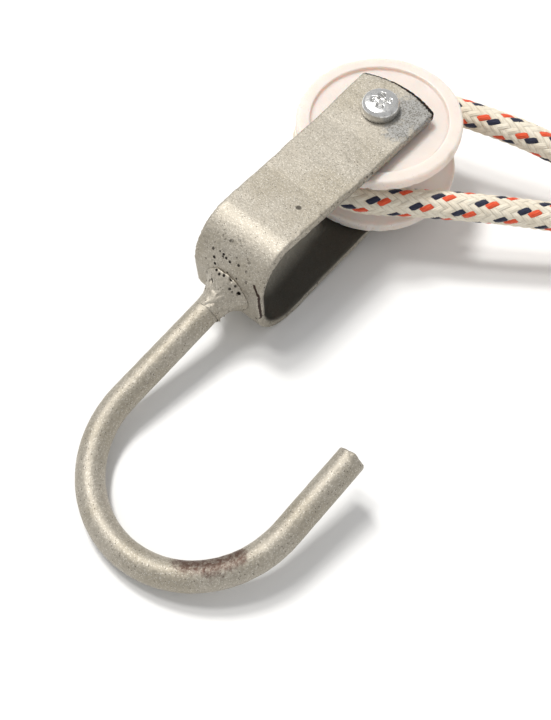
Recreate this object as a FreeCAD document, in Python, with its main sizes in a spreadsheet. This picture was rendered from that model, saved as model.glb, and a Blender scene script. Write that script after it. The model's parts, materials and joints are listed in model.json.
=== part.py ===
import FreeCAD, Part
import math
import os

import Sketcher

# A single-sheave hook block: a flat bar bent into a clevis, a round-bar hook welded to its crown,
# a nylon sheave on a sleeve and a screw, and a braided rope rove once round the sheave.
#
# The block is drawn in its own frame (origin at the middle of the sheave, X along the clevis
# towards the hook, Y towards the hook's tip, Z along the screw towards its head) and is then laid
# on its side on a flat surface, z = 0, where it rests on the screw's end, the bend and the hook.

SIZES = [
    # alias, millimetres or degrees, what it is
    ("strap_thickness", 3.0, "flat bar of the clevis"),
    ("strap_width", 25.0, "flat bar, from the bend to the end of its straight edges"),
    ("leg_end_width", 27.6, "each leg's end, spread a little by the punch"),
    ("leg_end_reach", 12.3, "leg's end past the axle, on the middle line"),
    ("leg_end_radius", 34.0, "curve of each leg's end"),
    ("leg_flat", 13.0, "stretch of leg past the axle that lies square to the screw"),
    ("axle_gap", 25.4, "between the legs at the axle"),
    ("bend_gap", 30.6, "between the legs where the bend starts"),
    ("clevis_reach", 72.2, "axle to the outside of the crown"),
    ("corner_radius", 14.5, "outside radius of each corner of the bend"),
    ("screw_diameter", 5.9, "M6 thread, over its crests"),
    ("screw_past_nut", 0.6, "screw's end past its nut"),
    ("screw_hole_gap", 0.3, "round the screw in each leg"),
    ("head_diameter", 11.9, "pan head"),
    ("head_height", 4.4, "pan head"),
    ("head_round", 2.0, "edge of the pan head"),
    ("recess_span", 6.6, "cross recess, tip to tip"),
    ("recess_slot", 1.5, "cross recess, width of an arm"),
    ("recess_depth", 2.2, "cross recess"),
    ("nut_flats", 10.0, "across the flats"),
    ("nut_height", 4.4, "hexagon of the lock nut"),
    ("nut_collar_diameter", 9.2, "collar that holds the insert"),
    ("nut_collar_height", 1.6, "collar above the hexagon"),
    ("insert_diameter", 7.8, "nylon ring in the nut"),
    ("insert_height", 1.8, "nylon ring in the nut"),
    ("thread_gap", 0.05, "between the screw and what is threaded on it"),
    ("sleeve_diameter", 10.0, "spacer that the sheave turns on"),
    ("sleeve_gap", 0.15, "between the screw and the spacer"),
    ("running_gap", 0.06, "between the spacer and the sheave's bore"),
    ("side_gap", 0.4, "between each leg and the sheave's hub"),
    ("sheave_diameter", 52.0, "over the rims"),
    ("groove_floor_diameter", 36.0, "bottom of the rope groove"),
    ("groove_clearance", 0.5, "groove's floor round the rope, in section"),
    ("groove_flank_angle", 42.0, "each flank from the sheave's middle plane"),
    ("hub_diameter", 19.0, "boss that bears on the legs"),
    ("dish_diameter", 44.0, "hollow in each face, up to the rim"),
    ("dish_depth", 1.3, "hollow in each face"),
    ("rim_round", 1.1, "edges of the rims"),
    ("dish_round", 0.5, "edges of the hollows"),
    ("rod_diameter", 8.4, "round bar of the hook"),
    ("shank_length", 43.8, "crown to the start of the hook's bend"),
    ("hook_radius", 31.5, "middle line of the hook's bend"),
    ("tip_length", 26.7, "straight tip, back from the bend"),
    ("hook_roll", 4.0, "degrees that the tip's side is turned up"),
    ("hook_yaw", -1.4, "degrees that the shank leans in the hook's plane"),
    ("weld_diameter", 17.0, "bead on the crown"),
    ("weld_length", 9.0, "bead along the shank"),
    ("weld_wall", 1.1, "bead's thickness round the shank at its thin end"),
    ("rope_diameter", 9.0, "braided rope"),
    ("rope_seat_gap", 0.3, "between the rope and the groove's floor"),
    ("hank_slot", 36.0, "clear width inside the put-away hank"),
    ("hank_run", 74.0, "straight run of the hank's turns, between its folds"),
    ("hank_turns_wide", 3.0, "turns side by side"),
    ("hank_turns_high", 3.0, "full layers of turns"),
    ("hank_top_layer", 0.866, "rise of the last turns, which lie in the valleys, in diameters"),
    ("hank_top_round", 0.8, "roundness of the hank's top, in diameters"),
    ("hank_foot_round", 0.35, "roundness of the hank's foot, in diameters"),
    ("tie_thickness", 1.2, "band round the hank's turns"),
    ("tie_width", 4.8, "band round the hank's turns"),
    ("tie_head", 6.5, "side of the band's square lock"),
    ("knot_wall", 8.5, "stopper knot, over the rope all round"),
    ("knot_round", 7.8, "edges of the stopper knot"),
    ("knot_length", 26.0, "stopper knot"),
    ("knot_tail", 10.0, "rope left past the knot"),
    ("standing_lead", 3.0, "straight rope before the standing end's knot"),
    ("hauling_lead", 49.7, "straight rope from the hank's turns to the hauling end's knot"),
]

# The rope's route, in millimetres: x and y from the sheave's middle, z above the surface.
STANDING_FALL = [
    (-64.8, 60.1, 13.0),
    (-54.8, 60.1, 13.8),
    (-44.3, 55.6, 17.8),
    (-36.6, 47.3, 22.2),
    (-33.0, 34.9, 24.9),
    (-27.6, 17.4, 26.0),
]
HAULING_FALL = [
    (4.7, 32.8, 21.8),
    (-9.8, 53.1, 21.0),
    (-23.5, 71.8, 17.5),
    (-40.4, 79.5, 12.5),
    (-68.8, 79.9, 7.0),
    (-108.0, 79.3, 4.6),
    (-131.0, 79.6, 4.5),
]
HANK_MIDDLE = (-183.7, 39.1)
STANDING_ANGLE = 193.5   # where the standing fall meets the groove's circle, degrees from +X
HAULING_ANGLE = 395.4    # where the hauling fall leaves it
WRAP_CORNERS = 5
END_KNOT_START = (-42.0, -17.4)   # from the hank's middle, where the hauling end leaves its turns
END_KNOT_ANGLE = 15.0    # direction of the hauling end's knot in the hank's slot
TIE_ANGLE = 90.0         # side of the hank that the tie grips

doc = FreeCAD.newDocument("hook_block")
sheet = doc.addObject("Spreadsheet::Sheet", "Sizes")
for row, (alias, value, meaning) in enumerate(SIZES, start=1):
    sheet.set("A%d" % row, alias)
    sheet.set("B%d" % row, str(value))
    sheet.setAlias("B%d" % row, alias)
    sheet.set("C%d" % row, meaning)
doc.recompute()


def size(alias):
    """A driving dimension from the sheet."""
    return float(sheet.get(alias))


# ---------------------------------------------------------------- helpers for sketches and bodies

def value_of(expression):
    """The present value of a sheet expression, for a sketch's first layout."""
    return float(sheet.evalExpression(expression.replace("Sizes.", "")))


def new_body(label):
    body = doc.addObject("PartDesign::Body", label)
    body.Label = label
    return body


def origin_plane(body, role):
    return next(f for f in body.Origin.OriginFeatures if f.Role == role)


def new_sketch(body, name, role):
    sketch = body.newObject("Sketcher::SketchObject", name)
    sketch.AttachmentSupport = [(origin_plane(body, role), "")]
    sketch.MapMode = "FlatFace"
    return sketch


def point(x, y):
    return FreeCAD.Vector(x, y, 0)


def rule(sketch, *constraint, expression=None):
    """Add one constraint, and bind it to an expression of the sheet if one is given."""
    index = sketch.addConstraint(Sketcher.Constraint(*constraint))
    if expression:
        sketch.setExpression("Constraints[%d]" % index, expression)


def closed_outline(sketch, points):
    """Straight sides through the points, joined end to end. Returns the sides' numbers."""
    ends = points[1:] + points[:1]
    sides = [sketch.addGeometry(Part.LineSegment(point(*a), point(*b))) for a, b in zip(points, ends)]
    for side, following in zip(sides, sides[1:] + sides[:1]):
        rule(sketch, "Coincident", side, 2, following, 1)
    return sides


def rectangle(sketch, left, right, bottom, top):
    """A rectangle whose four sides are each bound to an expression, from the sketch's origin."""
    corners = [(value_of(left), value_of(bottom)), (value_of(right), value_of(bottom)),
               (value_of(right), value_of(top)), (value_of(left), value_of(top))]
    south, east, north, west = closed_outline(sketch, corners)
    rule(sketch, "Horizontal", south)
    rule(sketch, "Horizontal", north)
    rule(sketch, "Vertical", east)
    rule(sketch, "Vertical", west)
    for side, kind, expression in ((west, "DistanceX", left), (east, "DistanceX", right),
                                   (south, "DistanceY", bottom), (north, "DistanceY", top)):
        rule(sketch, kind, -1, 1, side, 1, value_of(expression), expression=expression)


def long_ring(sketch, run, width):
    """Two straight sides along X joined by half circles, about the sketch's origin."""
    half_run, radius = value_of(run) / 2, value_of(width) / 2
    up = FreeCAD.Vector(0, 0, 1)
    quarter = math.pi / 2
    ahead = sketch.addGeometry(Part.ArcOfCircle(
        Part.Circle(point(half_run, 0), up, radius), -quarter, quarter))
    behind = sketch.addGeometry(Part.ArcOfCircle(
        Part.Circle(point(-half_run, 0), up, radius), quarter, 3 * quarter))
    far_side = sketch.addGeometry(Part.LineSegment(point(half_run, radius), point(-half_run, radius)))
    near_side = sketch.addGeometry(Part.LineSegment(point(-half_run, -radius),
                                                    point(half_run, -radius)))
    rule(sketch, "Tangent", ahead, 2, far_side, 1)
    rule(sketch, "Tangent", far_side, 2, behind, 1)
    rule(sketch, "Tangent", behind, 2, near_side, 1)
    rule(sketch, "Tangent", near_side, 2, ahead, 1)
    rule(sketch, "PointOnObject", ahead, 3, -1)
    rule(sketch, "PointOnObject", behind, 3, -1)
    rule(sketch, "DistanceX", -1, 1, ahead, 3, half_run, expression="%s / 2" % run)
    rule(sketch, "DistanceX", behind, 3, -1, 1, half_run, expression="%s / 2" % run)
    rule(sketch, "Radius", ahead, radius, expression="%s / 2" % width)


def circle_on_origin(sketch, diameter):
    """A circle about the sketch's origin."""
    ring = sketch.addGeometry(Part.Circle(point(0, 0), FreeCAD.Vector(0, 0, 1), value_of(diameter) / 2))
    rule(sketch, "Coincident", ring, 3, -1, 1)
    rule(sketch, "Diameter", ring, value_of(diameter), expression=diameter)
    return ring


def pad(body, name, sketch, length, symmetric=False, reverse=False):
    feature = body.newObject("PartDesign::Pad", name)
    feature.Profile = sketch
    feature.setExpression("Length", length)
    feature.Midplane = symmetric
    feature.Reversed = reverse
    return feature


def pocket(body, name, sketch, length, symmetric=False, reverse=False):
    feature = body.newObject("PartDesign::Pocket", name)
    feature.Profile = sketch
    feature.setExpression("Length", length)
    feature.Midplane = symmetric
    feature.Reversed = reverse
    return feature


def edges_where(shape, test):
    """Names of the circular edges that a test of (radius, centre) picks."""
    names = []
    for number, edge in enumerate(shape.Edges, start=1):
        if isinstance(edge.Curve, Part.Circle) and test(edge.Curve.Radius, edge.Curve.Center):
            names.append("Edge%d" % number)
    return names


def round_edges(body, name, test, radius):
    """Fillet the circular edges of a body's present tip."""
    doc.recompute()
    base = body.Tip
    names = edges_where(base.Shape, test)
    if not names:
        raise RuntimeError("%s: no edge to round on %s" % (name, body.Label))
    fillet = body.newObject("PartDesign::Fillet", name)
    fillet.Base = (base, names)
    fillet.setExpression("Radius", radius)
    return fillet


def near(a, b):
    return abs(a - b) < 0.01


# ---------------------------------------------------------------- the clevis

LEG_OUTSIDE = "(Sizes.axle_gap / 2 + Sizes.strap_thickness)"
STRAP_MIDDLE = "(Sizes.axle_gap + Sizes.strap_thickness) / 2"
CROWN_MIDDLE = "(Sizes.clevis_reach - Sizes.strap_thickness / 2)"
CORNER_MIDDLE = "(Sizes.corner_radius - Sizes.strap_thickness / 2)"
CROWN_HALF_FLAT = "(Sizes.bend_gap / 2 + Sizes.strap_thickness - Sizes.corner_radius)"
WELL_CLEAR = "(Sizes.clevis_reach + Sizes.strap_width)"


def leg_slope():
    """Angle between a leg's run to the bend and its flat end, in radians."""
    crown_x, corner = value_of(CROWN_MIDDLE), value_of(CORNER_MIDDLE)
    across = crown_x - corner - size("leg_flat")
    rise = value_of(CROWN_HALF_FLAT) - value_of(STRAP_MIDDLE)
    reach = math.hypot(across, rise)
    return math.atan2(rise, across) + math.asin(corner / reach)


def make_strap_path(body):
    """Middle line of the upper half of the strap: leg's end, slope, corner, half the crown."""
    sketch = new_sketch(body, "strap_path", "XZ_Plane")
    crown_x, corner = value_of(CROWN_MIDDLE), value_of(CORNER_MIDDLE)
    half_flat, leg_z, flat_x = value_of(CROWN_HALF_FLAT), value_of(STRAP_MIDDLE), size("leg_flat")
    start_x = -size("leg_end_reach") - size("strap_thickness")
    slope = leg_slope()
    centre = point(crown_x - corner, half_flat)
    corner_start = centre + point(-corner * math.sin(slope), corner * math.cos(slope))
    circle = Part.Circle(centre, FreeCAD.Vector(0, 0, 1), corner)
    leg_end = sketch.addGeometry(Part.LineSegment(point(start_x, leg_z), point(flat_x, leg_z)))
    run = sketch.addGeometry(Part.LineSegment(point(flat_x, leg_z), corner_start))
    bend = sketch.addGeometry(Part.ArcOfCircle(circle, 0, math.pi / 2 + slope))
    crown = sketch.addGeometry(Part.LineSegment(point(crown_x, half_flat), point(crown_x, 0)))
    rule(sketch, "Coincident", leg_end, 2, run, 1)
    rule(sketch, "Tangent", run, 2, bend, 2)
    rule(sketch, "Tangent", bend, 1, crown, 1)
    rule(sketch, "Horizontal", leg_end)
    rule(sketch, "Vertical", crown)
    rule(sketch, "PointOnObject", crown, 2, -1)
    rule(sketch, "DistanceX", -1, 1, crown, 2, crown_x, expression=CROWN_MIDDLE)
    rule(sketch, "DistanceY", -1, 1, crown, 1, half_flat, expression=CROWN_HALF_FLAT)
    rule(sketch, "Radius", bend, corner, expression=CORNER_MIDDLE)
    rule(sketch, "DistanceY", -1, 1, leg_end, 1, leg_z, expression=STRAP_MIDDLE)
    rule(sketch, "DistanceX", -1, 1, leg_end, 2, flat_x, expression="Sizes.leg_flat")
    rule(sketch, "DistanceX", leg_end, 1, -1, 1, -start_x,
         expression="Sizes.leg_end_reach + Sizes.strap_thickness")
    return sketch


def make_strap_outline(body):
    """The strap seen from the screw's head, inside a frame: what lies between them is cut off."""
    sketch = new_sketch(body, "strap_outline", "XY_Plane")
    rectangle(sketch, "-%s" % WELL_CLEAR, "2 * %s" % WELL_CLEAR, "-%s" % WELL_CLEAR, WELL_CLEAR)
    radius, half_end = size("leg_end_radius"), size("leg_end_width") / 2
    half_strap, bend_x = size("strap_width") / 2, size("clevis_reach") - size("corner_radius")
    far_x, centre_x = value_of("1.5 * %s" % WELL_CLEAR), radius - size("leg_end_reach")
    swing = math.asin(half_end / radius)
    circle = Part.Circle(point(centre_x, 0), FreeCAD.Vector(0, 0, 1), radius)
    end = sketch.addGeometry(Part.ArcOfCircle(circle, math.pi - swing, math.pi + swing))
    end_x = centre_x - radius * math.cos(swing)
    corners = [(end_x, -half_end), (bend_x, -half_strap), (far_x, -half_strap),
               (far_x, half_strap), (bend_x, half_strap), (end_x, half_end)]
    sides = [sketch.addGeometry(Part.LineSegment(point(*a), point(*b)))
             for a, b in zip(corners, corners[1:])]
    for side, following in zip(sides, sides[1:]):
        rule(sketch, "Coincident", side, 2, following, 1)
    rule(sketch, "Coincident", end, 2, sides[0], 1)
    rule(sketch, "Coincident", sides[4], 2, end, 1)
    rule(sketch, "PointOnObject", end, 3, -1)
    rule(sketch, "Radius", end, radius, expression="Sizes.leg_end_radius")
    rule(sketch, "DistanceX", -1, 1, end, 3, centre_x,
         expression="Sizes.leg_end_radius - Sizes.leg_end_reach")
    rule(sketch, "DistanceY", end, 2, -1, 1, half_end, expression="Sizes.leg_end_width / 2")
    rule(sketch, "DistanceY", -1, 1, end, 1, half_end, expression="Sizes.leg_end_width / 2")
    for side, corner, sign in ((sides[0], 2, -1), (sides[3], 2, 1)):
        first, second = ((side, corner), (-1, 1)) if sign < 0 else ((-1, 1), (side, corner))
        rule(sketch, "DistanceY", *first, *second, half_strap, expression="Sizes.strap_width / 2")
        rule(sketch, "DistanceX", -1, 1, side, corner, bend_x,
             expression="Sizes.clevis_reach - Sizes.corner_radius")
    rule(sketch, "Horizontal", sides[1])
    rule(sketch, "Horizontal", sides[3])
    rule(sketch, "Vertical", sides[2])
    rule(sketch, "DistanceX", -1, 1, sides[2], 1, far_x, expression="1.5 * %s" % WELL_CLEAR)
    return sketch


def make_strap_clevis():
    body = new_body("strap_clevis")
    path = make_strap_path(body)
    section = new_sketch(body, "strap_section", "XY_Plane")
    widest = "Sizes.leg_end_width"
    rectangle(section, "Sizes.clevis_reach - Sizes.strap_thickness", "Sizes.clevis_reach",
              "-%s" % widest, widest)
    doc.recompute()
    half = body.newObject("PartDesign::AdditivePipe", "upper_half")
    half.Profile = section
    half.Spine = (path, ["Edge%d" % number for number in range(1, 5)])
    half.Transition = "Right corner"
    doc.recompute()
    mirrored = body.newObject("PartDesign::Mirrored", "both_halves")
    mirrored.Originals = [half]
    mirrored.MirrorPlane = (origin_plane(body, "XY_Plane"), [""])
    body.Tip = mirrored
    doc.recompute()
    outline = make_strap_outline(body)
    pocket(body, "sheared_edges", outline, "4 * %s" % LEG_OUTSIDE, symmetric=True)
    hole = new_sketch(body, "screw_hole", "XY_Plane")
    circle_on_origin(hole, "Sizes.screw_diameter + 2 * Sizes.screw_hole_gap")
    pocket(body, "screw_holes", hole, "4 * %s" % LEG_OUTSIDE, symmetric=True)
    return body


# ---------------------------------------------------------------- the sheave and its spacer

SHEAVE_WIDTH = "(Sizes.axle_gap - 2 * Sizes.side_gap)"
GROOVE_ROUND = "(Sizes.rope_diameter / 2 + Sizes.groove_clearance)"
GROOVE_CENTRE = "(Sizes.groove_floor_diameter / 2 + %s)" % GROOVE_ROUND


def make_groove_section(body):
    """A round floor and two straight flanks, closed off outside the rims."""
    sketch = new_sketch(body, "groove_section", "XZ_Plane")
    radius, tilt = value_of(GROOVE_ROUND), math.radians(size("groove_flank_angle"))
    centre_x = value_of(GROOVE_CENTRE)
    outside_x = value_of("Sizes.sheave_diameter / 2 + Sizes.rim_round")
    circle = Part.Circle(point(centre_x, 0), FreeCAD.Vector(0, 0, 1), radius)
    floor = sketch.addGeometry(Part.ArcOfCircle(circle, math.pi / 2 + tilt, 1.5 * math.pi - tilt))
    foot = point(centre_x - radius * math.sin(tilt), radius * math.cos(tilt))
    rim_z = foot.y + (outside_x - foot.x) * math.tan(tilt)
    upper = sketch.addGeometry(Part.LineSegment(foot, point(outside_x, rim_z)))
    side = sketch.addGeometry(Part.LineSegment(point(outside_x, rim_z), point(outside_x, -rim_z)))
    lower = sketch.addGeometry(Part.LineSegment(point(outside_x, -rim_z), point(foot.x, -foot.y)))
    rule(sketch, "Tangent", floor, 1, upper, 1)
    rule(sketch, "Tangent", lower, 2, floor, 2)
    rule(sketch, "Coincident", upper, 2, side, 1)
    rule(sketch, "Coincident", side, 2, lower, 1)
    rule(sketch, "PointOnObject", floor, 3, -1)
    rule(sketch, "Symmetric", side, 1, side, 2, -1)
    rule(sketch, "Radius", floor, radius, expression=GROOVE_ROUND)
    rule(sketch, "DistanceX", -1, 1, floor, 3, centre_x, expression=GROOVE_CENTRE)
    rule(sketch, "DistanceX", -1, 1, side, 1, outside_x,
         expression="Sizes.sheave_diameter / 2 + Sizes.rim_round")
    rule(sketch, "Angle", -1, 1, upper, 1, tilt, expression="Sizes.groove_flank_angle * 1 deg")
    return sketch


def make_sheave():
    body = new_body("sheave")
    blank = new_sketch(body, "blank_circle", "XY_Plane")
    circle_on_origin(blank, "Sizes.sheave_diameter")
    pad(body, "blank", blank, SHEAVE_WIDTH, symmetric=True)
    groove = body.newObject("PartDesign::Groove", "rope_groove")
    groove.Profile = make_groove_section(body)
    groove.ReferenceAxis = (origin_plane(body, "Z_Axis"), [""])
    groove.Angle = 360
    doc.recompute()
    dish = new_sketch(body, "dish_ring", "XY_Plane")
    dish.AttachmentOffset = FreeCAD.Placement(FreeCAD.Vector(0, 0, 1), FreeCAD.Rotation())
    dish.setExpression("AttachmentOffset.Base.z", "%s / 2" % SHEAVE_WIDTH)
    circle_on_origin(dish, "Sizes.hub_diameter")
    circle_on_origin(dish, "Sizes.dish_diameter")
    doc.recompute()
    hollow = pocket(body, "dish", dish, "Sizes.dish_depth")
    doc.recompute()
    both = body.newObject("PartDesign::Mirrored", "both_dishes")
    both.Originals = [hollow]
    both.MirrorPlane = (origin_plane(body, "XY_Plane"), [""])
    body.Tip = both
    doc.recompute()
    bore = new_sketch(body, "bore_circle", "XY_Plane")
    circle_on_origin(bore, "Sizes.sleeve_diameter + 2 * Sizes.running_gap")
    pocket(body, "bore", bore, "2 * %s" % SHEAVE_WIDTH, symmetric=True)
    rim, dish_rim = size("sheave_diameter") / 2, size("dish_diameter") / 2
    hub, face = size("hub_diameter") / 2, value_of(SHEAVE_WIDTH) / 2
    round_edges(body, "rounded_rims", lambda r, c: near(r, rim), "Sizes.rim_round")
    round_edges(body, "rounded_dishes",
                lambda r, c: near(r, dish_rim) or (near(r, hub) and not near(abs(c.z), face)),
                "Sizes.dish_round")
    return body


def make_tube(label, outer, inner, length, centre_z="0 mm"):
    """A plain tube about the screw, centred at a height."""
    body = new_body(label)
    ring = new_sketch(body, label + "_ring", "XY_Plane")
    ring.setExpression("AttachmentOffset.Base.z", centre_z)
    circle_on_origin(ring, outer)
    circle_on_origin(ring, inner)
    pad(body, label + "_wall", ring, length, symmetric=True)
    return body


# ---------------------------------------------------------------- the screw and its nut

NUT_FACE = "(-%s)" % LEG_OUTSIDE
THREAD_BORE = "Sizes.screw_diameter + 2 * Sizes.thread_gap"
NUT_END = "(%s - Sizes.nut_height - Sizes.nut_collar_height)" % NUT_FACE
SCREW_END = "(%s - Sizes.screw_past_nut)" % NUT_END


def make_axle_screw():
    body = new_body("axle_screw")
    head = new_sketch(body, "head_circle", "XY_Plane")
    head.setExpression("AttachmentOffset.Base.z", LEG_OUTSIDE)
    circle_on_origin(head, "Sizes.head_diameter")
    pad(body, "head", head, "Sizes.head_height")
    shank = new_sketch(body, "shank_circle", "XY_Plane")
    shank.setExpression("AttachmentOffset.Base.z", LEG_OUTSIDE)
    circle_on_origin(shank, "Sizes.screw_diameter")
    pad(body, "shank", shank, "%s - %s" % (LEG_OUTSIDE, SCREW_END), reverse=True)
    doc.recompute()
    top = value_of("%s + Sizes.head_height" % LEG_OUTSIDE)
    head_radius = size("head_diameter") / 2
    round_edges(body, "rounded_head", lambda r, c: near(r, head_radius) and near(c.z, top),
                "Sizes.head_round")
    span, slot = "Sizes.recess_span / 2", "Sizes.recess_slot / 2"
    for name, across, along in (("recess_a", span, slot), ("recess_b", slot, span)):
        cross = new_sketch(body, name + "_slot", "XY_Plane")
        cross.setExpression("AttachmentOffset.Base.z", "%s + Sizes.head_height" % LEG_OUTSIDE)
        rectangle(cross, "-" + across, across, "-" + along, along)
        pocket(body, name, cross, "Sizes.recess_depth")
    return body


def make_axle_nut():
    """Lock nut: a hexagon against the lower leg, and a collar bored out for its nylon ring."""
    body = new_body("axle_nut")
    hexagon = new_sketch(body, "hexagon", "XY_Plane")
    hexagon.setExpression("AttachmentOffset.Base.z", NUT_FACE)
    radius = size("nut_flats") / math.sqrt(3)
    corners = [(radius * math.cos(math.radians(a)), radius * math.sin(math.radians(a)))
               for a in range(0, 360, 60)]
    sides = closed_outline(hexagon, corners)
    guide = hexagon.addGeometry(Part.Circle(point(0, 0), FreeCAD.Vector(0, 0, 1), radius), True)
    rule(hexagon, "Coincident", guide, 3, -1, 1)
    rule(hexagon, "Diameter", guide, 2 * radius, expression="2 * Sizes.nut_flats / sqrt(3)")
    for side in sides:
        rule(hexagon, "PointOnObject", side, 1, guide)
    for side, following in zip(sides[:-1], sides[1:]):
        rule(hexagon, "Equal", side, following)
    rule(hexagon, "PointOnObject", sides[0], 1, -1)
    pad(body, "hexagon_pad", hexagon, "Sizes.nut_height", reverse=True)
    collar = new_sketch(body, "collar_circle", "XY_Plane")
    collar.setExpression("AttachmentOffset.Base.z", "%s - Sizes.nut_height" % NUT_FACE)
    circle_on_origin(collar, "Sizes.nut_collar_diameter")
    pad(body, "collar", collar, "Sizes.nut_collar_height", reverse=True)
    bore = new_sketch(body, "thread_circle", "XY_Plane")
    circle_on_origin(bore, THREAD_BORE)
    pocket(body, "thread", bore, "4 * %s" % LEG_OUTSIDE, symmetric=True)
    seat = new_sketch(body, "insert_seat_circle", "XY_Plane")
    seat.setExpression("AttachmentOffset.Base.z", NUT_END)
    circle_on_origin(seat, "Sizes.insert_diameter")
    pocket(body, "insert_seat", seat, "Sizes.insert_height", reverse=True)
    return body


# ---------------------------------------------------------------- the hook and its weld

def make_hook_bar():
    """The bent bar alone, drawn from the crown: shank, half circle, straight tip."""
    body = new_body("hook_bar")
    path = new_sketch(body, "hook_path", "XY_Plane")
    into_crown, shank, radius = -size("strap_thickness") / 2, size("shank_length"), size("hook_radius")
    tip_x = shank - size("tip_length")
    circle = Part.Circle(point(shank, radius), FreeCAD.Vector(0, 0, 1), radius)
    straight = path.addGeometry(Part.LineSegment(point(into_crown, 0), point(shank, 0)))
    bend = path.addGeometry(Part.ArcOfCircle(circle, -math.pi / 2, math.pi / 2))
    tip = path.addGeometry(Part.LineSegment(point(shank, 2 * radius), point(tip_x, 2 * radius)))
    rule(path, "Tangent", straight, 2, bend, 1)
    rule(path, "Tangent", bend, 2, tip, 1)
    rule(path, "Horizontal", straight)
    rule(path, "Horizontal", tip)
    rule(path, "PointOnObject", straight, 1, -1)
    rule(path, "DistanceX", straight, 1, -1, 1, -into_crown, expression="Sizes.strap_thickness / 2")
    rule(path, "DistanceX", -1, 1, straight, 2, shank, expression="Sizes.shank_length")
    rule(path, "Radius", bend, radius, expression="Sizes.hook_radius")
    rule(path, "DistanceX", tip, 2, tip, 1, shank - tip_x, expression="Sizes.tip_length")
    section = new_sketch(body, "hook_section", "YZ_Plane")
    section.setExpression("AttachmentOffset.Base.z", "-Sizes.strap_thickness / 2")
    circle_on_origin(section, "Sizes.rod_diameter")
    doc.recompute()
    pipe = body.newObject("PartDesign::AdditivePipe", "bent_bar")
    pipe.Profile = section
    pipe.Spine = (path, ["Edge1", "Edge2", "Edge3"])
    return body


def make_weld_blank():
    """The bead before it is fitted round the bar and against the crown: a flared collar."""
    body = new_body("weld_blank")
    sketch = new_sketch(body, "bead_section", "XZ_Plane")
    back, length = -size("strap_thickness") / 2, size("weld_length")
    foot, end = size("weld_diameter") / 2, size("rod_diameter") / 2 + size("weld_wall")
    flare = Part.Arc(point(0, foot), point(length * 0.3, (foot + 2 * end) / 3), point(length, end))
    outline = [(0, foot), (back, foot), (back, 0), (length, 0), (length, end)]
    sides = [sketch.addGeometry(Part.LineSegment(point(*a), point(*b)))
             for a, b in zip(outline, outline[1:])]
    arc = sketch.addGeometry(flare)
    for side, following in zip(sides, sides[1:]):
        rule(sketch, "Coincident", side, 2, following, 1)
    near_foot = 1 if sketch.getPoint(arc, 1).distanceToPoint(point(0, foot)) < 0.01 else 2
    rule(sketch, "Coincident", arc, near_foot, sides[0], 1)
    rule(sketch, "Coincident", arc, 3 - near_foot, sides[3], 2)
    rule(sketch, "Horizontal", sides[0])
    rule(sketch, "Vertical", sides[1])
    rule(sketch, "PointOnObject", sides[1], 2, -1)
    rule(sketch, "PointOnObject", sides[2], 2, -1)
    rule(sketch, "Vertical", sides[3])
    rule(sketch, "DistanceX", sides[1], 1, -1, 1, -back, expression="Sizes.strap_thickness / 2")
    rule(sketch, "PointOnObject", sides[0], 1, -2)
    rule(sketch, "DistanceY", -1, 1, sides[0], 1, foot, expression="Sizes.weld_diameter / 2")
    rule(sketch, "DistanceX", -1, 1, sides[3], 1, length, expression="Sizes.weld_length")
    rule(sketch, "DistanceY", -1, 1, sides[3], 2, end,
         expression="Sizes.rod_diameter / 2 + Sizes.weld_wall")
    rule(sketch, "Radius", arc, sketch.Geometry[arc].Radius, expression="2 * Sizes.weld_length")
    turned = body.newObject("PartDesign::Revolution", "bead")
    turned.Profile = sketch
    turned.ReferenceAxis = (origin_plane(body, "X_Axis"), [""])
    turned.Angle = 360
    return body


def cut(label, base, tool):
    result = doc.addObject("Part::Cut", label)
    result.Label = label
    result.Base = base
    result.Tool = tool
    return result


# ---------------------------------------------------------------- laying the block down

def nose_down():
    """Tilt, in degrees, at which the screw's end and the bend touch the surface together."""
    end_x, end_z = size("screw_diameter") / 2, value_of(SCREW_END)
    bend_x = size("clevis_reach") - size("corner_radius")
    bend_z = -value_of(CROWN_HALF_FLAT)
    reach = math.hypot(bend_x - end_x, bend_z - end_z)
    lean = math.atan2(bend_z - end_z, bend_x - end_x)
    return math.degrees(lean - math.asin(size("corner_radius") / reach))


def axle_height(tilt):
    """Height of the sheave's middle once the block lies at that tilt."""
    angle = math.radians(tilt)
    return -value_of(SCREW_END) * math.cos(angle) + size("screw_diameter") / 2 * math.sin(angle)


def hook_turn(droop):
    """The hook's turn about the middle of the crown, in the clevis's frame."""
    roll = FreeCAD.Rotation(FreeCAD.Vector(1, 0, 0), size("hook_roll"))
    pitch = FreeCAD.Rotation(FreeCAD.Vector(0, 1, 0), droop)
    yaw = FreeCAD.Rotation(FreeCAD.Vector(0, 0, 1), size("hook_yaw"))
    return FreeCAD.Placement(point(size("clevis_reach"), 0), yaw.multiply(pitch).multiply(roll))


def lowest_of_hook(lie, droop):
    """Height of the lowest point of the hook's bend, with the clevis at that placement."""
    place = lie.multiply(hook_turn(droop))
    centre = place.multVec(point(size("shank_length"), size("hook_radius")))
    along, across = place.Rotation.multVec(point(1, 0)), place.Rotation.multVec(point(0, 1))
    return centre.z - size("hook_radius") * math.hypot(along.z, across.z) - size("rod_diameter") / 2


def droop_to_surface(lie):
    """The hook's droop, in degrees, at which its bend just touches the surface."""
    low, high = -30.0, 30.0
    for _ in range(60):
        middle = (low + high) / 2
        low, high = (middle, high) if lowest_of_hook(lie, middle) > 0 else (low, middle)
    return low


def place_block(bodies, hook_bodies, shift):
    """Lay every body of the block down, then slide them all by the shift."""
    tilt = nose_down()
    turn = FreeCAD.Rotation(FreeCAD.Vector(0, 1, 0), tilt)
    lie = FreeCAD.Placement(FreeCAD.Vector(shift.x, shift.y, axle_height(tilt)), turn)
    for body in bodies:
        body.Placement = lie
    for body in hook_bodies:
        body.Placement = lie.multiply(hook_turn(droop_to_surface(lie)))
    doc.recompute()
    return lie


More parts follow.
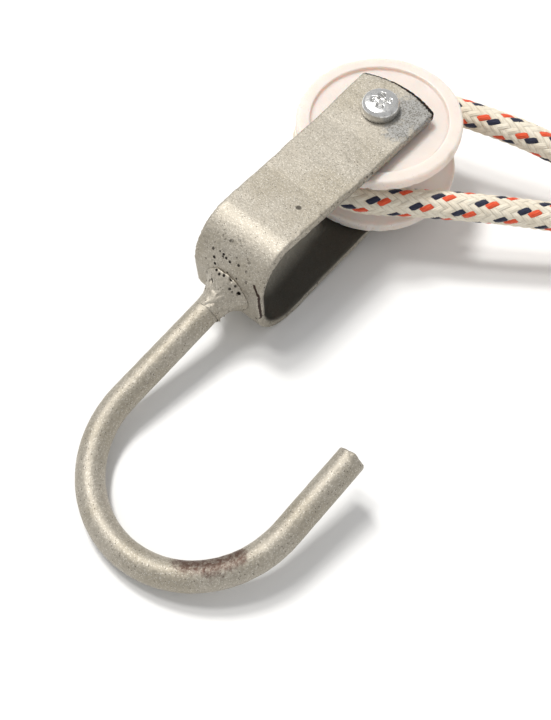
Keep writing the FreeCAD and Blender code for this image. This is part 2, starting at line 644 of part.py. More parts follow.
strap_clevis = make_strap_clevis()
sheave = make_sheave()
spacer_sleeve = make_tube("spacer_sleeve", "Sizes.sleeve_diameter",
                          "Sizes.screw_diameter + 2 * Sizes.sleeve_gap", "Sizes.axle_gap")
axle_screw = make_axle_screw()
axle_nut = make_axle_nut()
nut_insert = make_tube("nut_insert", "Sizes.insert_diameter", THREAD_BORE, "Sizes.insert_height",
                       "%s + Sizes.insert_height / 2" % NUT_END)
hook_bar = make_hook_bar()
weld_blank = make_weld_blank()
hook_rod = cut("hook_rod", hook_bar, strap_clevis)
weld_on_crown = cut("weld_on_crown", weld_blank, strap_clevis)
weld_bead = cut("weld_bead", weld_on_crown, hook_bar)
clevis_bodies = [strap_clevis, sheave, spacer_sleeve, axle_screw, axle_nut, nut_insert]
block = clevis_bodies + [hook_rod, weld_bead]

place_block(clevis_bodies, [hook_bar, weld_blank], FreeCAD.Vector())
outside = FreeCAD.BoundBox()
for piece in block:
    outside.add(piece.Shape.optimalBoundingBox(False))
to_origin = FreeCAD.Vector(-outside.Center.x, -outside.Center.y, 0)
lie = place_block(clevis_bodies, [hook_bar, weld_blank], to_origin)


# ---------------------------------------------------------------- the rope and what is on it

HANK_WIDTH = "(Sizes.hank_slot + 2 * Sizes.hank_turns_wide * Sizes.rope_diameter)"
HANK_HEIGHT = "((Sizes.hank_turns_high + Sizes.hank_top_layer) * Sizes.rope_diameter)"
WRAP_RADIUS = "(Sizes.groove_floor_diameter / 2 + Sizes.rope_seat_gap + Sizes.rope_diameter / 2)"
KNOT_DIAMETER = "(Sizes.rope_diameter + 2 * Sizes.knot_wall)"


def rope_route():
    """The route's points, and at each the share of its shorter run that its arc may take."""
    foot = FreeCAD.Vector(lie.Base.x, lie.Base.y, 0)
    half_turn = math.radians(HAULING_ANGLE - STANDING_ANGLE) / WRAP_CORNERS / 2
    corner_radius = value_of(WRAP_RADIUS) / math.cos(half_turn)
    angles = [math.radians(STANDING_ANGLE) + half_turn * (2 * k + 1) for k in range(WRAP_CORNERS)]
    wrap = [lie.multVec(point(corner_radius * math.cos(a), corner_radius * math.sin(a)))
            for a in angles]
    standing = [foot + FreeCAD.Vector(*p) for p in STANDING_FALL]
    hauling = [foot + FreeCAD.Vector(*p) for p in HAULING_FALL]
    shares = [0.45] * len(standing) + [0.5] * len(wrap) + [0.45] * len(hauling)
    return standing + wrap + hauling, shares


def rounded_path(points, shares):
    """Straight runs joined by tangent arcs. Returns the wire and the arcs' radii."""
    edges, radii, start = [], [], points[0]
    for before, corner, after, share in zip(points, points[1:], points[2:], shares[1:]):
        back, ahead = (before - corner), (after - corner)
        reach = share * min(back.Length, ahead.Length)
        back.normalize()
        ahead.normalize()
        half_turn = (math.pi - back.getAngle(ahead)) / 2
        radius = reach / math.tan(half_turn)
        inward = (back + ahead).normalize()
        middle = corner + inward * (radius / math.cos(half_turn) - radius)
        arc_start, arc_end = corner + back * reach, corner + ahead * reach
        if (arc_start - start).Length > 0.01:
            edges.append(Part.LineSegment(start, arc_start).toShape())
        else:
            arc_start = start
        edges.append(Part.Arc(arc_start, middle, arc_end).toShape())
        radii.append(radius)
        start = arc_end
    edges.append(Part.LineSegment(start, points[-1]).toShape())
    return Part.Wire(edges), radii


def make_rope_run():
    """The uncoiled stretch: standing fall, once round the groove, hauling fall."""
    points, shares = rope_route()
    wire, radii = rounded_path(points, shares)
    heading = points[1] - points[0]
    section = Part.Wire(Part.Circle(points[0], heading, size("rope_diameter") / 2).toShape())
    tube = wire.makePipeShell([section], True, False)
    rope = doc.addObject("Part::Feature", "rope_run")
    rope.Label = "rope_run"
    rope.Shape = tube
    straight_volume = math.pi / 4 * size("rope_diameter") ** 2 * wire.Length
    print("rope_run: %.0f mm long, volume %.4f of section times length" %
          (wire.Length, tube.Volume / straight_volume))
    print("rope_run: radii %s" % ", ".join("%.0f" % radius for radius in radii))
    return rope


def make_rope_hank():
    """The outer shape of the put-away hank. Its tie bites into it by the band's own thickness."""
    body = new_body("rope_hank")
    ring = new_sketch(body, "hank_outline", "XY_Plane")
    long_ring(ring, "Sizes.hank_run", HANK_WIDTH)
    long_ring(ring, "Sizes.hank_run", "Sizes.hank_slot")
    pad(body, "hank_turns", ring, HANK_HEIGHT)
    height = value_of(HANK_HEIGHT)
    round_edges(body, "rounded_top", lambda r, c: near(c.z, height),
                "Sizes.hank_top_round * Sizes.rope_diameter")
    round_edges(body, "rounded_foot", lambda r, c: near(c.z, 0),
                "Sizes.hank_foot_round * Sizes.rope_diameter")
    return body


def make_hank_tie():
    """A flat band round the turns on one side of the hank, and its square lock on top."""
    body = new_body("hank_tie")
    inner, outer = "Sizes.hank_slot / 2", "%s / 2" % HANK_WIDTH
    thickness = "Sizes.tie_thickness"
    band = new_sketch(body, "tie_band_section", "XZ_Plane")
    rectangle(band, inner, outer, "0 mm", HANK_HEIGHT)
    rectangle(band, "%s + %s" % (inner, thickness), "%s - %s" % (outer, thickness),
              thickness, "%s - %s" % (HANK_HEIGHT, thickness))
    pad(body, "tie_band", band, "Sizes.tie_width", symmetric=True)
    lock = new_sketch(body, "tie_lock_section", "XZ_Plane")
    middle, half = "(%s + %s) / 2" % (inner, outer), "Sizes.tie_head / 2"
    rectangle(lock, "%s - %s" % (middle, half), "%s + %s" % (middle, half),
              "%s - %s" % (HANK_HEIGHT, thickness), "%s + %s" % (HANK_HEIGHT, half))
    pad(body, "tie_lock", lock, "Sizes.tie_head", symmetric=True)
    return body


def make_knot(label, lead):
    """A stopper knot's outer shape along X: rope in, the knot's barrel, and the rope's tail."""
    body = new_body(label)
    rope = new_sketch(body, label + "_rope", "YZ_Plane")
    circle_on_origin(rope, "Sizes.rope_diameter")
    pad(body, label + "_through", rope, "%s + Sizes.knot_length + Sizes.knot_tail" % lead)
    barrel = new_sketch(body, label + "_round", "YZ_Plane")
    barrel.setExpression("AttachmentOffset.Base.z", lead)
    circle_on_origin(barrel, KNOT_DIAMETER)
    pad(body, label + "_barrel", barrel, "Sizes.knot_length")
    radius = value_of(KNOT_DIAMETER) / 2
    round_edges(body, label + "_rounding", lambda r, c: near(r, radius), "Sizes.knot_round")
    return body


def facing(direction_deg, base):
    """A placement at a point, turned about the vertical."""
    return FreeCAD.Placement(base, FreeCAD.Rotation(FreeCAD.Vector(0, 0, 1), direction_deg))


rope_run = make_rope_run()
route, _ = rope_route()
hank_base = FreeCAD.Vector(lie.Base.x + HANK_MIDDLE[0], lie.Base.y + HANK_MIDDLE[1], 0)
rope_hank = make_rope_hank()
rope_hank.Placement = facing(0, hank_base)
hank_tie = make_hank_tie()
hank_tie.Placement = facing(TIE_ANGLE, hank_base)

knot_height = FreeCAD.Vector(0, 0, value_of(KNOT_DIAMETER) / 2)
standing_end_knot = make_knot("standing_end_knot", "Sizes.standing_lead")
outward = route[0] - route[1]
standing_foot = FreeCAD.Vector(route[0].x, route[0].y, 0)
standing_end_knot.Placement = facing(math.degrees(math.atan2(outward.y, outward.x)),
                                     standing_foot + knot_height)
hauling_end_knot = make_knot("hauling_end_knot", "Sizes.hauling_lead")
hauling_end_knot.Placement = facing(END_KNOT_ANGLE,
                                    hank_base + knot_height + point(*END_KNOT_START))

# ---------------------------------------------------------------- checks and export

doc.recompute()
on_the_rope = [rope_run, rope_hank, hank_tie, standing_end_knot, hauling_end_knot]
failed = [obj.Name for obj in doc.Objects if {"Invalid", "Error"} & set(obj.State)]
if failed:
    raise RuntimeError("these objects failed: %s" % ", ".join(failed))
for piece in block + on_the_rope:
    if piece.Shape.isNull() or not piece.Shape.isValid() or not piece.Shape.Solids:
        raise RuntimeError("%s has no valid solid" % piece.Label)

os.makedirs("parts", exist_ok=True)
for piece in block + on_the_rope:
    piece.Shape.exportStep("parts/%s.step" % piece.Label)
    print("%s: %.0f mm3, %d solid" % (piece.Label, piece.Shape.Volume, len(piece.Shape.Solids)))
print("axle at %.2f %.2f %.2f mm, tilt %.3f, hook's droop %.3f degrees" %
      (lie.Base.x, lie.Base.y, lie.Base.z, nose_down(), droop_to_surface(lie)))
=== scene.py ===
"""A hook block lying on its side: bent-strap clevis, nylon sheave, welded hook and braided rope."""

import json
import logging
import math
from collections.abc import Callable
from dataclasses import dataclass
from enum import Enum

import bmesh
import bpy
import numpy as np
from mathutils import Euler, Matrix, Vector, noise


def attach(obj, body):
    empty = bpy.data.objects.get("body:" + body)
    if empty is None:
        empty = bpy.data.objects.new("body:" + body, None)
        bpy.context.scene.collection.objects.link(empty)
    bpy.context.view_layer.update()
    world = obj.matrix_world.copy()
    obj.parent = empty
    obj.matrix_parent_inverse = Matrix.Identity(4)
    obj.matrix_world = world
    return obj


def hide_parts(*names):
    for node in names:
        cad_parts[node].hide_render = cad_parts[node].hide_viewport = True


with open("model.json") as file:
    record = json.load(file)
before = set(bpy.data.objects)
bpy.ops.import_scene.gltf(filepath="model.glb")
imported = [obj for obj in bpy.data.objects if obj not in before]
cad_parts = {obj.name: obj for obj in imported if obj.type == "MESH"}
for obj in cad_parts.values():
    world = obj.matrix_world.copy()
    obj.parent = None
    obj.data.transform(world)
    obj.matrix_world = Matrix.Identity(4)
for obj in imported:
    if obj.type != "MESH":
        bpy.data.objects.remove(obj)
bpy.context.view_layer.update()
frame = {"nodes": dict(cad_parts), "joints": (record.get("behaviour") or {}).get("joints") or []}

LOG = logging.getLogger("hook_block")
MM = 0.001
TWO_PI = 2 * math.pi
Colour = tuple[float, float, float]
Value = float | tuple[float, ...] | bpy.types.NodeSocket


class Slot(Enum):
    """The record's material slots that the pieces here belong to."""

    PAINT = "hammered_paint"
    NYLON = "white_nylon"
    ZINC = "zinc_plate"
    ROPE = "rope_braid"


class Body(Enum):
    """Bodies that pieces ride on."""

    BLOCK = "block"
    WHEEL = "wheel"


# ------------------------------------------------------------------ where the block lies

@dataclass(frozen=True)
class Lie:
    """The clevis's own frame: sheave's middle, X to the hook, Y to its tip, Z up the screw."""

    matrix: Matrix

    @classmethod
    def from_joint(cls, joint: dict) -> "Lie":
        """The frame that the sheave's joint gives.

        Args:
            joint: the sheave's entry among the frame's joints.

        Returns:
            The block's lie, in metres.
        """
        up = Vector(joint["axis"]).normalized()
        across = Vector((0, 1, 0))
        along = across.cross(up).normalized()
        turn = Matrix((along, across, up)).transposed().to_4x4()
        return cls(Matrix.Translation(Vector(joint["pos_m"])) @ turn)

    def place(self, x: float, y: float, z: float) -> Vector:
        """A point given in the clevis's frame, in millimetres, as a point of the scene."""
        return self.matrix @ (Vector((x, y, z)) * MM)

    def local(self, points: np.ndarray) -> np.ndarray:
        """Points of the scene in the clevis's frame, in millimetres."""
        back = np.array(self.matrix.inverted())
        return (points @ back[:3, :3].T + back[:3, 3]) / MM

    def outside(self, points: np.ndarray) -> np.ndarray:
        """Points of the clevis's frame, in millimetres, as points of the scene."""
        forth = np.array(self.matrix)
        return points @ forth[:3, :3].T * MM + forth[:3, 3]

    def foot(self, x: float, y: float, z: float) -> Vector:
        """A point in millimetres from the spot on the surface right below the sheave's middle."""
        base = self.matrix.translation
        return Vector((base.x + x * MM, base.y + y * MM, z * MM))


# ------------------------------------------------------------------ node trees

class Graph:
    """Adds nodes to a tree and wires them."""

    def __init__(self, tree: bpy.types.NodeTree) -> None:
        """Args: tree: the material's or group's node tree."""
        self.tree = tree

    def feed(self, socket: bpy.types.NodeSocket, value: Value) -> None:
        """Link a socket to another, or set its value."""
        if isinstance(value, bpy.types.NodeSocket):
            self.tree.links.new(value, socket)
        else:
            socket.default_value = value

    def add(self, kind: str, inputs: dict[str | int, Value] | None = None, **settings: object
            ) -> bpy.types.Node:
        """Add a node.

        Args:
            kind: Blender's name of the node type, without "ShaderNode".
            inputs: a value or socket for each input, by name or number.
            **settings: the node's own properties.

        Returns:
            The node.
        """
        node = self.tree.nodes.new("ShaderNode" + kind)
        for name, value in settings.items():
            setattr(node, name, value)
        for name, value in (inputs or {}).items():
            self.feed(node.inputs[name], value)
        return node

    def math(self, operation: str, a: Value, b: Value = 0.0, clamp: bool = False
             ) -> bpy.types.NodeSocket:
        """The result of a Math node."""
        return self.add("Math", {0: a, 1: b}, operation=operation, use_clamp=clamp).outputs[0]

    def times(self, a: Value, b: Value) -> bpy.types.NodeSocket:
        """The product."""
        return self.math("MULTIPLY", a, b)

    def plus(self, a: Value, b: Value, clamp: bool = False) -> bpy.types.NodeSocket:
        """The sum."""
        return self.math("ADD", a, b, clamp)

    def minus(self, a: Value, b: Value, clamp: bool = False) -> bpy.types.NodeSocket:
        """The difference."""
        return self.math("SUBTRACT", a, b, clamp)

    def most(self, a: Value, b: Value) -> bpy.types.NodeSocket:
        """The larger of the two."""
        return self.math("MAXIMUM", a, b)

    def remap(self, value: Value, low: float, high: float, to_low: float = 0.0,
              to_high: float = 1.0) -> bpy.types.NodeSocket:
        """A value carried smoothly from one range to another."""
        node = self.add("MapRange", {"Value": value, "From Min": low, "From Max": high,
                                     "To Min": to_low, "To Max": to_high},
                        interpolation_type="SMOOTHSTEP")
        return node.outputs["Result"]

    def mix(self, factor: Value, a: Value, b: Value, blend: str = "MIX") -> bpy.types.NodeSocket:
        """Two colours mixed."""
        node = self.add("Mix", {0: factor}, data_type="RGBA", blend_type=blend)
        for index, value in ((6, a), (7, b)):
            self.feed(node.inputs[index], (*value, 1.0) if isinstance(value, tuple) else value)
        return node.outputs[2]

    def noise(self, where: Value, size: float, detail: float = 2.0, roughness: float = 0.5
              ) -> bpy.types.NodeSocket:
        """Noise whose lumps are about that many millimetres."""
        return self.add("TexNoise", {"Vector": where, "Scale": 1 / (size * MM), "Detail": detail,
                                     "Roughness": roughness}).outputs["Fac"]

    def attribute(self, name: str) -> bpy.types.NodeSocket:
        """A number stored on the piece's vertices."""
        return self.add("Attribute", attribute_name=name).outputs["Fac"]


class Effect:
    """A shader node group with named inputs and outputs, built once."""

    made: dict[str, bpy.types.NodeTree] = {}

    @classmethod
    def start(cls, name: str, inputs: dict[str, str], outputs: dict[str, str]
              ) -> tuple[Graph, dict[str, bpy.types.NodeSocket], bpy.types.Node]:
        """Open a new group.

        Args:
            name: the group's name.
            inputs: a socket kind, such as Float or Vector, for each input.
            outputs: a socket kind for each output.

        Returns:
            The group's graph, its inputs by name, and its output node.
        """
        tree = bpy.data.node_groups.new(name, "ShaderNodeTree")
        cls.made[name] = tree
        for in_out, sockets in (("INPUT", inputs), ("OUTPUT", outputs)):
            for label, kind in sockets.items():
                tree.interface.new_socket(label, in_out=in_out, socket_type="NodeSocket" + kind)
        ins = tree.nodes.new("NodeGroupInput")
        outs = tree.nodes.new("NodeGroupOutput")
        return Graph(tree), {label: ins.outputs[label] for label in inputs}, outs

    @classmethod
    def place(cls, graph: Graph, name: str, inputs: dict[str, Value]) -> bpy.types.Node:
        """Place a group in a material with its own values."""
        node = graph.add("Group", node_tree=cls.made[name])
        for label, value in inputs.items():
            graph.feed(node.inputs[label], value)
        return node


def build_spot_effect() -> None:
    """A ragged round spot about a point: 1 in its middle, 0 outside."""
    graph, given, out = Effect.start(
        "spot", {"Where": "Vector", "Centre": "Vector", "Radius": "Float", "Ragged": "Float"},
        {"Mask": "Float"})
    away = graph.add("VectorMath", {0: given["Where"], 1: given["Centre"]}, operation="DISTANCE")
    near = graph.math("DIVIDE", away.outputs["Value"], given["Radius"])
    torn = graph.times(graph.minus(graph.noise(given["Where"], 1.3, 4.0), 0.5),
                      given["Ragged"])
    graph.feed(out.inputs["Mask"], graph.remap(graph.plus(near, torn), 1.0, 0.45))


def build_speck_effect() -> None:
    """Small scattered specks: their mask, and a random number for each."""
    graph, given, out = Effect.start(
        "specks", {"Where": "Vector", "Scale": "Float", "Share": "Float", "Size": "Float"},
        {"Mask": "Float", "Kind": "Float"})
    cell = graph.add("TexVoronoi", {"Vector": given["Where"], "Scale": given["Scale"]},
                     feature="F1")
    kind = graph.add("SeparateColor", {0: cell.outputs["Color"]})
    chosen = graph.math("LESS_THAN", kind.outputs[0], given["Share"])
    edge = graph.math("DIVIDE", cell.outputs["Distance"], given["Size"])
    mask = graph.times(chosen, graph.remap(edge, 1.0, 0.6))
    graph.feed(out.inputs["Mask"], mask)
    graph.feed(out.inputs["Kind"], kind.outputs[1])


# ------------------------------------------------------------------ the rope's braid

@dataclass(frozen=True)
class Braid:
    """Twenty-four carriers, twelve each way, each passing over two and under two."""

    carriers: int = 12
    left_turns: float = 8.0 / 360 / MM
    right_turns: float = 10.4 / 360 / MM
    left_phase: float = 1.67
    right_phase: float = 1.67
    float_over: int = 2
    repeat: int = 4
    relief: float = 0.55 * MM
    ends: int = 3
    taper: float = 0.40
    yarn_width: float = 1.16
    narrow: float = 1.86
    sag: float = 0.62

    def counts(self, around: np.ndarray, along: np.ndarray) -> tuple[np.ndarray, np.ndarray]:
        """Position across the carriers of each hand, in carriers.

        Args:
            around: angle about the rope, in turns.
            along: distance along the rope, in metres.

        Returns:
            The left-hand and right-hand counts; a whole number is a carrier's middle.
        """
        left = self.carriers * (around + self.left_turns * along) + self.left_phase
        right = self.carriers * (around - self.right_turns * along) + self.right_phase
        return left, right

    def height(self, around: np.ndarray, along: np.ndarray) -> np.ndarray:
        """Height of the braid's surface, from 0 in the gaps to 1 on a carrier's crown."""
        left, right = self.counts(around, along)
        i, j = np.round(left), np.round(right)
        phase = np.mod(i + j, self.repeat)
        over_left = phase < self.float_over
        across = np.where(over_left, left - i, right - j)
        second = np.mod(phase, self.float_over)
        drift_left = (right - j) + second - 0.5
        drift_right = (left - i) + second - 0.5
        drift = np.where(over_left, drift_left, drift_right)
        dome = np.sqrt(np.clip(1 - (self.narrow * across) ** 2, 0.0, 1.0))
        rise = 1 - self.sag * drift ** 2
        return np.clip(dome * rise, 0.0, 1.0)


BRAID = Braid()


def build_braid_effect() -> None:
    """Which yarn shows at a point of the rope, and how high the fibres stand."""
    graph, given, out = Effect.start(
        "braid", {"Around": "Float", "Along": "Float"},
        {"Dark": "Float", "Red": "Float", "Height": "Float", "Gap": "Float", "Strand": "Float"})
    n = BRAID.carriers

    def count(turns: float, phase: float) -> bpy.types.NodeSocket:
        """Position across the carriers of one hand."""
        turned = graph.times(given["Along"], n * turns)
        around = graph.times(given["Around"], float(n))
        return graph.plus(graph.plus(around, turned), phase)

    left = count(BRAID.left_turns, BRAID.left_phase)
    right = count(-BRAID.right_turns, BRAID.right_phase)
    i = graph.math("ROUND", left)
    j = graph.math("ROUND", right)
    phase = graph.math("FLOORED_MODULO", graph.plus(i, j), float(BRAID.repeat))
    over_left = graph.math("LESS_THAN", phase, BRAID.float_over - 0.5)
    from_left = graph.minus(left, i)
    from_right = graph.minus(right, j)

    def pick(yes: Value, no: Value) -> bpy.types.NodeSocket:
        """The first value where a left-hand carrier is on top, else the second."""
        node = graph.add("Mix", {0: over_left, 2: no, 3: yes}, data_type="FLOAT")
        return node.outputs[0]

    across = pick(from_left, from_right)
    colour = graph.math("FLOORED_MODULO", i, float(BRAID.repeat))
    second = graph.math("FLOORED_MODULO", phase, float(BRAID.float_over))
    drift = graph.plus(from_right, graph.minus(second, 0.5))
    narrowed = graph.times(graph.math("POWER", drift, 2.0), BRAID.taper)
    in_yarn = graph.math("LESS_THAN", graph.times(graph.math("ABSOLUTE", from_left), 2.0),
                         graph.minus(BRAID.yarn_width, narrowed))
    shown = graph.times(over_left, in_yarn)
    dark = graph.times(shown, graph.math("LESS_THAN", colour, 0.5))
    red = graph.times(shown, graph.math("COMPARE", colour, 1.0))
    squared = graph.math("POWER", graph.times(across, BRAID.narrow), 2.0)
    dome = graph.math("SQRT", graph.minus(1.0, squared, clamp=True))
    ripple = graph.math("COSINE", graph.times(across, TWO_PI * BRAID.ends))
    lane = graph.plus(pick(left, right), graph.times(over_left, 40.5))
    along_yarn = pick(right, left)
    fibres = graph.add("CombineXYZ", {0: graph.times(lane, 9.0),
                                      1: graph.times(along_yarn, 1.1), 2: 0.0})
    hair = graph.add("TexNoise", {"Vector": fibres.outputs[0], "Scale": 1.0, "Detail": 3.0})
    height = graph.plus(dome, graph.times(ripple, 0.10))
    height = graph.plus(height, graph.times(hair.outputs["Fac"], 0.35))
    graph.feed(out.inputs["Dark"], dark)
    graph.feed(out.inputs["Red"], red)
    graph.feed(out.inputs["Height"], height)
    graph.feed(out.inputs["Gap"], graph.remap(dome, 0.62, 0.15))
    graph.feed(out.inputs["Strand"], hair.outputs["Fac"])


# ------------------------------------------------------------------ finishes

class Finish:
    """A material under construction: one Principled shader and its coordinates."""

    def __init__(self, name: str, constants: dict[str, Value]) -> None:
        """Start the material.

        Args:
            name: the material's name.
            constants: values that are the same all over, by the shader's socket names.
        """
        self.material = bpy.data.materials.new(name)
        self.material.use_nodes = True
        tree = self.material.node_tree
        tree.nodes.clear()
        self.graph = Graph(tree)
        self.shader = self.graph.add("BsdfPrincipled", constants)
        output = self.graph.add("OutputMaterial")
        self.graph.feed(output.inputs["Surface"], self.shader.outputs[0])
        self.where = self.graph.add("TexCoord").outputs["Object"]

    def set(self, **sockets: Value) -> "Finish":
        """Feed the shader's sockets, with spaces in their names written as underscores."""
        for name, value in sockets.items():
            self.graph.feed(self.shader.inputs[name.replace("_", " ")], value)
        return self

    def bump(self, *layers: tuple[Value, float]) -> "Finish":
        """Feed the shader's normal from heights, each with its depth in millimetres."""
        normal = None
        for height, depth in layers:
            inputs = {"Height": height, "Distance": depth * MM, "Strength": 1.0}
            if normal is not None:
                inputs["Normal"] = normal
            normal = self.graph.add("Bump", inputs).outputs["Normal"]
        return self.set(Normal=normal)

    def spot(self, mark: "Mark") -> bpy.types.NodeSocket:
        """The mask of a mark on the block."""
        node = Effect.place(self.graph, "spot", {
            "Where": self.where, "Centre": tuple(mark.centre), "Radius": mark.radius * MM,
            "Ragged": mark.ragged})
        return node.outputs["Mask"]

    def specks(self, size: float, share: float, spread: float) -> bpy.types.Node:
        """Scattered specks: a cell's size in millimetres, the share with one, its width."""
        return Effect.place(self.graph, "specks", {
            "Where": self.where, "Scale": 1 / (size * MM), "Share": share, "Size": spread})


@dataclass(frozen=True)
class Mark:
    """A spot on the block, at a point of the scene."""

    centre: Vector
    radius: float
    ragged: float = 0.8


@dataclass(frozen=True)
class HammeredPaint:
    """Silver-beige hammer paint over steel: flakes, dark pinholes, chips and a worn saddle."""

    light: Colour = (0.465, 0.427, 0.362)
    warm: Colour = (0.41, 0.37, 0.298)
    shade: Colour = (0.275, 0.25, 0.205)
    flake: Colour = (0.80, 0.77, 0.70)
    grey: Colour = (0.31, 0.315, 0.315)
    # Painted shade: near-black for the clevis's inner faces, standing in for the shade inside the U
    # (partly darker bare steel).
    painted_inner_shade: Colour = (0.055, 0.052, 0.043)
    pinhole: Colour = (0.06, 0.05, 0.04)
    chipped: Colour = (0.022, 0.017, 0.013)
    rust: Colour = (0.10, 0.055, 0.04)
    crack: Colour = (0.038, 0.019, 0.012)

    def material(self, lie: Lie) -> bpy.types.Material:
        """Build the paint.

        Args:
            lie: where the block lies, for the marks on it.

        Returns:
            The material of the strap, the weld and the hook.
        """
        finish = Finish("hammered_paint", {"Metallic": 0.62, "Specular IOR Level": 0.5})
        graph, where = finish.graph, finish.where
        drift = graph.remap(graph.noise(where, 14, 3.0), 0.35, 0.65)
        colour = graph.mix(drift, self.light, self.warm)
        hammer = graph.noise(where, 0.75, 3.0, 0.6)
        colour = graph.mix(graph.remap(hammer, 0.60, 0.40, 0.0, 0.45), colour, self.shade)
        flakes = finish.specks(0.34, 0.30, 0.55)
        colour = graph.mix(graph.times(flakes.outputs["Mask"], 0.45), colour, self.flake)
        worn = self.worn(finish, lie)
        dots = finish.specks(0.55, 0.10, 0.42)
        many = finish.specks(0.40, 0.55, 0.62)
        # Painted shade: the clevis's inner faces turn nearly black, standing in for the shade inside
        # the U.
        colour = graph.mix(graph.times(worn["inside"], 0.92), colour, self.painted_inner_shade)
        grey = graph.mix(many.outputs["Mask"], self.grey, (0.09, 0.085, 0.08))
        colour = graph.mix(graph.times(worn["grey"], 0.75), colour, grey)
        colour = graph.mix(graph.times(dots.outputs["Mask"], 0.62), colour, self.pinhole)
        colour = graph.mix(worn["rust"], colour, self.rust)
        colour = graph.mix(worn["crack"], colour, self.crack)
        pits = graph.times(worn["pits"], finish.specks(1.5, 0.38, 0.40).outputs["Mask"])
        chips = graph.most(worn["chips"], pits)
        colour = graph.mix(chips, colour, self.chipped)
        rough = graph.plus(graph.times(hammer, 0.35), 0.37)
        rough = graph.plus(rough, graph.times(chips, 0.35), clamp=True)
        finish.set(Base_Color=colour, Roughness=rough)
        finish.bump((graph.noise(where, 2.6, 2.0), 0.10), (hammer, 0.11),
                    (flakes.outputs["Kind"], 0.012), (graph.minus(1.0, chips), 0.25))
        return finish.material

    def worn(self, finish: Finish, lie: Lie) -> dict[str, bpy.types.NodeSocket]:
        """Masks of what is worn (grey rubbed paint, rust, chips and weld pits), and where the painted
        shade on the clevis's inner faces goes.
        """
        graph, where = finish.graph, finish.where

        def joined(*marks: Mark) -> bpy.types.NodeSocket:
            """One mask for several marks."""
            mask: Value = 0.0
            for mark in marks:
                mask = graph.most(mask, finish.spot(mark))
            return mask

        edge = graph.attribute("edge")
        ragged = graph.noise(where, 1.1, 5.0, 0.65)
        torn = graph.remap(graph.plus(edge, graph.times(ragged, 0.9)), 1.18, 1.3)
        # Painted shade mask: the clevis's inner faces, as stored on the strap's vertices.
        inside = graph.attribute("inside")
        rubbed = joined(Mark(lie.place(-5.0, 8.5, 15.7), 9.5, 1.1),
                        Mark(lie.place(3.5, 9.5, 15.7), 5.5, 1.4))
        saddle = joined(Mark(lie.place(138.4, 46.9, -0.8), 6.6, 0.9),
                        Mark(lie.place(135.4, 51.8, 0.4), 6.6, 0.9),
                        Mark(lie.place(131.6, 55.8, 1.5), 4.8, 0.9))
        cracks = graph.remap(graph.plus(graph.attribute("crack"),
                                        graph.times(ragged, 0.6)), 0.98, 1.06)
        scuff = joined(Mark(lie.place(45.8, 5.7, 17.6), 1.0, 0.9))
        pitted = joined(Mark(lie.place(70.0, -1.0, 9.0), 11.0, 0.5))
        return {
            "grey": rubbed,
            "inside": inside,
            "crack": cracks,
            "rust": graph.times(saddle, graph.remap(ragged, 0.36, 0.58, 0.55, 0.98)),
            "chips": graph.most(torn, graph.times(scuff, 0.7)),
            "pits": pitted,
        }


@dataclass(frozen=True)
class MilkyNylon:
    """Translucent natural nylon, a little dirty and scuffed."""

    body: Colour = (0.80, 0.725, 0.67)
    cloudy: Colour = (0.73, 0.645, 0.585)
    dirt: Colour = (0.42, 0.33, 0.26)
    depth: float = 4.0

    def material(self) -> bpy.types.Material:
        """Build the nylon."""
        finish = Finish("milky_nylon", {
            "Subsurface Weight": 1.0, "Subsurface Radius": (1.0, 0.72, 0.55),
            "Subsurface Scale": self.depth * MM, "IOR": 1.5, "Specular IOR Level": 0.45})
        graph, where = finish.graph, finish.where
        cloud = graph.remap(graph.noise(where, 9, 3.0), 0.35, 0.7)
        colour = graph.mix(graph.times(cloud, 0.35), self.body, self.cloudy)
        grime = graph.times(graph.remap(graph.noise(where, 0.7, 5.0), 0.60, 0.75),
                           graph.attribute("edge"))
        colour = graph.mix(graph.times(grime, 0.8), colour, self.dirt)
        wear = graph.noise(where, 1.6, 4.0, 0.6)
        finish.set(Base_Color=colour, Roughness=graph.remap(wear, 0.3, 0.7, 0.30, 0.48))
        finish.bump((wear, 0.05), (graph.noise(where, 0.3, 2.0), 0.012))
        return finish.material


@dataclass(frozen=True)
class BrightMetal:
    """Plated or turned metal with fine scratches and a little dulling."""

    name: str
    tint: Colour
    dull: Colour
    rough_low: float
    rough_high: float

    def material(self) -> bpy.types.Material:
        """Build the metal."""
        finish = Finish(self.name, {"Metallic": 1.0})
        graph, where = finish.graph, finish.where
        stain = graph.remap(graph.noise(where, 1.4, 5.0, 0.65), 0.42, 0.72)
        scratch = graph.add("TexNoise", {
            "Vector": graph.add("Mapping", {0: where, 3: (9.0, 1.0, 1.0)}).outputs[0],
            "Scale": 900.0, "Detail": 3.0}).outputs["Fac"]
        pits = finish.specks(0.9, 0.22, 0.35).outputs["Mask"]
        colour = graph.mix(stain, self.tint, self.dull)
        colour = graph.mix(graph.times(pits, 0.3), colour, (0.20, 0.19, 0.18))
        rough = graph.remap(graph.plus(graph.times(stain, 0.6),
                                       graph.times(scratch, 0.4)),
                            0.0, 1.0, self.rough_low, self.rough_high)
        finish.set(Base_Color=colour, Roughness=rough)
        finish.bump((stain, 0.006), (scratch, 0.008), (graph.minus(1.0, pits), 0.012))
        return finish.material


@dataclass(frozen=True)
class MouldedPlastic:
    """Plain moulded plastic with a fine grain."""

    name: str
    tint: Colour
    shade: Colour
    rough: float

    def material(self) -> bpy.types.Material:
        """Build the plastic."""
        finish = Finish(self.name, {"IOR": 1.5})
        graph, where = finish.graph, finish.where
        cloud = graph.remap(graph.noise(where, 5, 3.0), 0.35, 0.7)
        grain = graph.noise(where, 0.25, 3.0)
        finish.set(Base_Color=graph.mix(cloud, self.tint, self.shade),
                   Roughness=graph.remap(grain, 0.2, 0.8, self.rough - 0.08, self.rough + 0.08))
        finish.bump((grain, 0.02), (graph.noise(where, 3, 2.0), 0.04))
        return finish.material


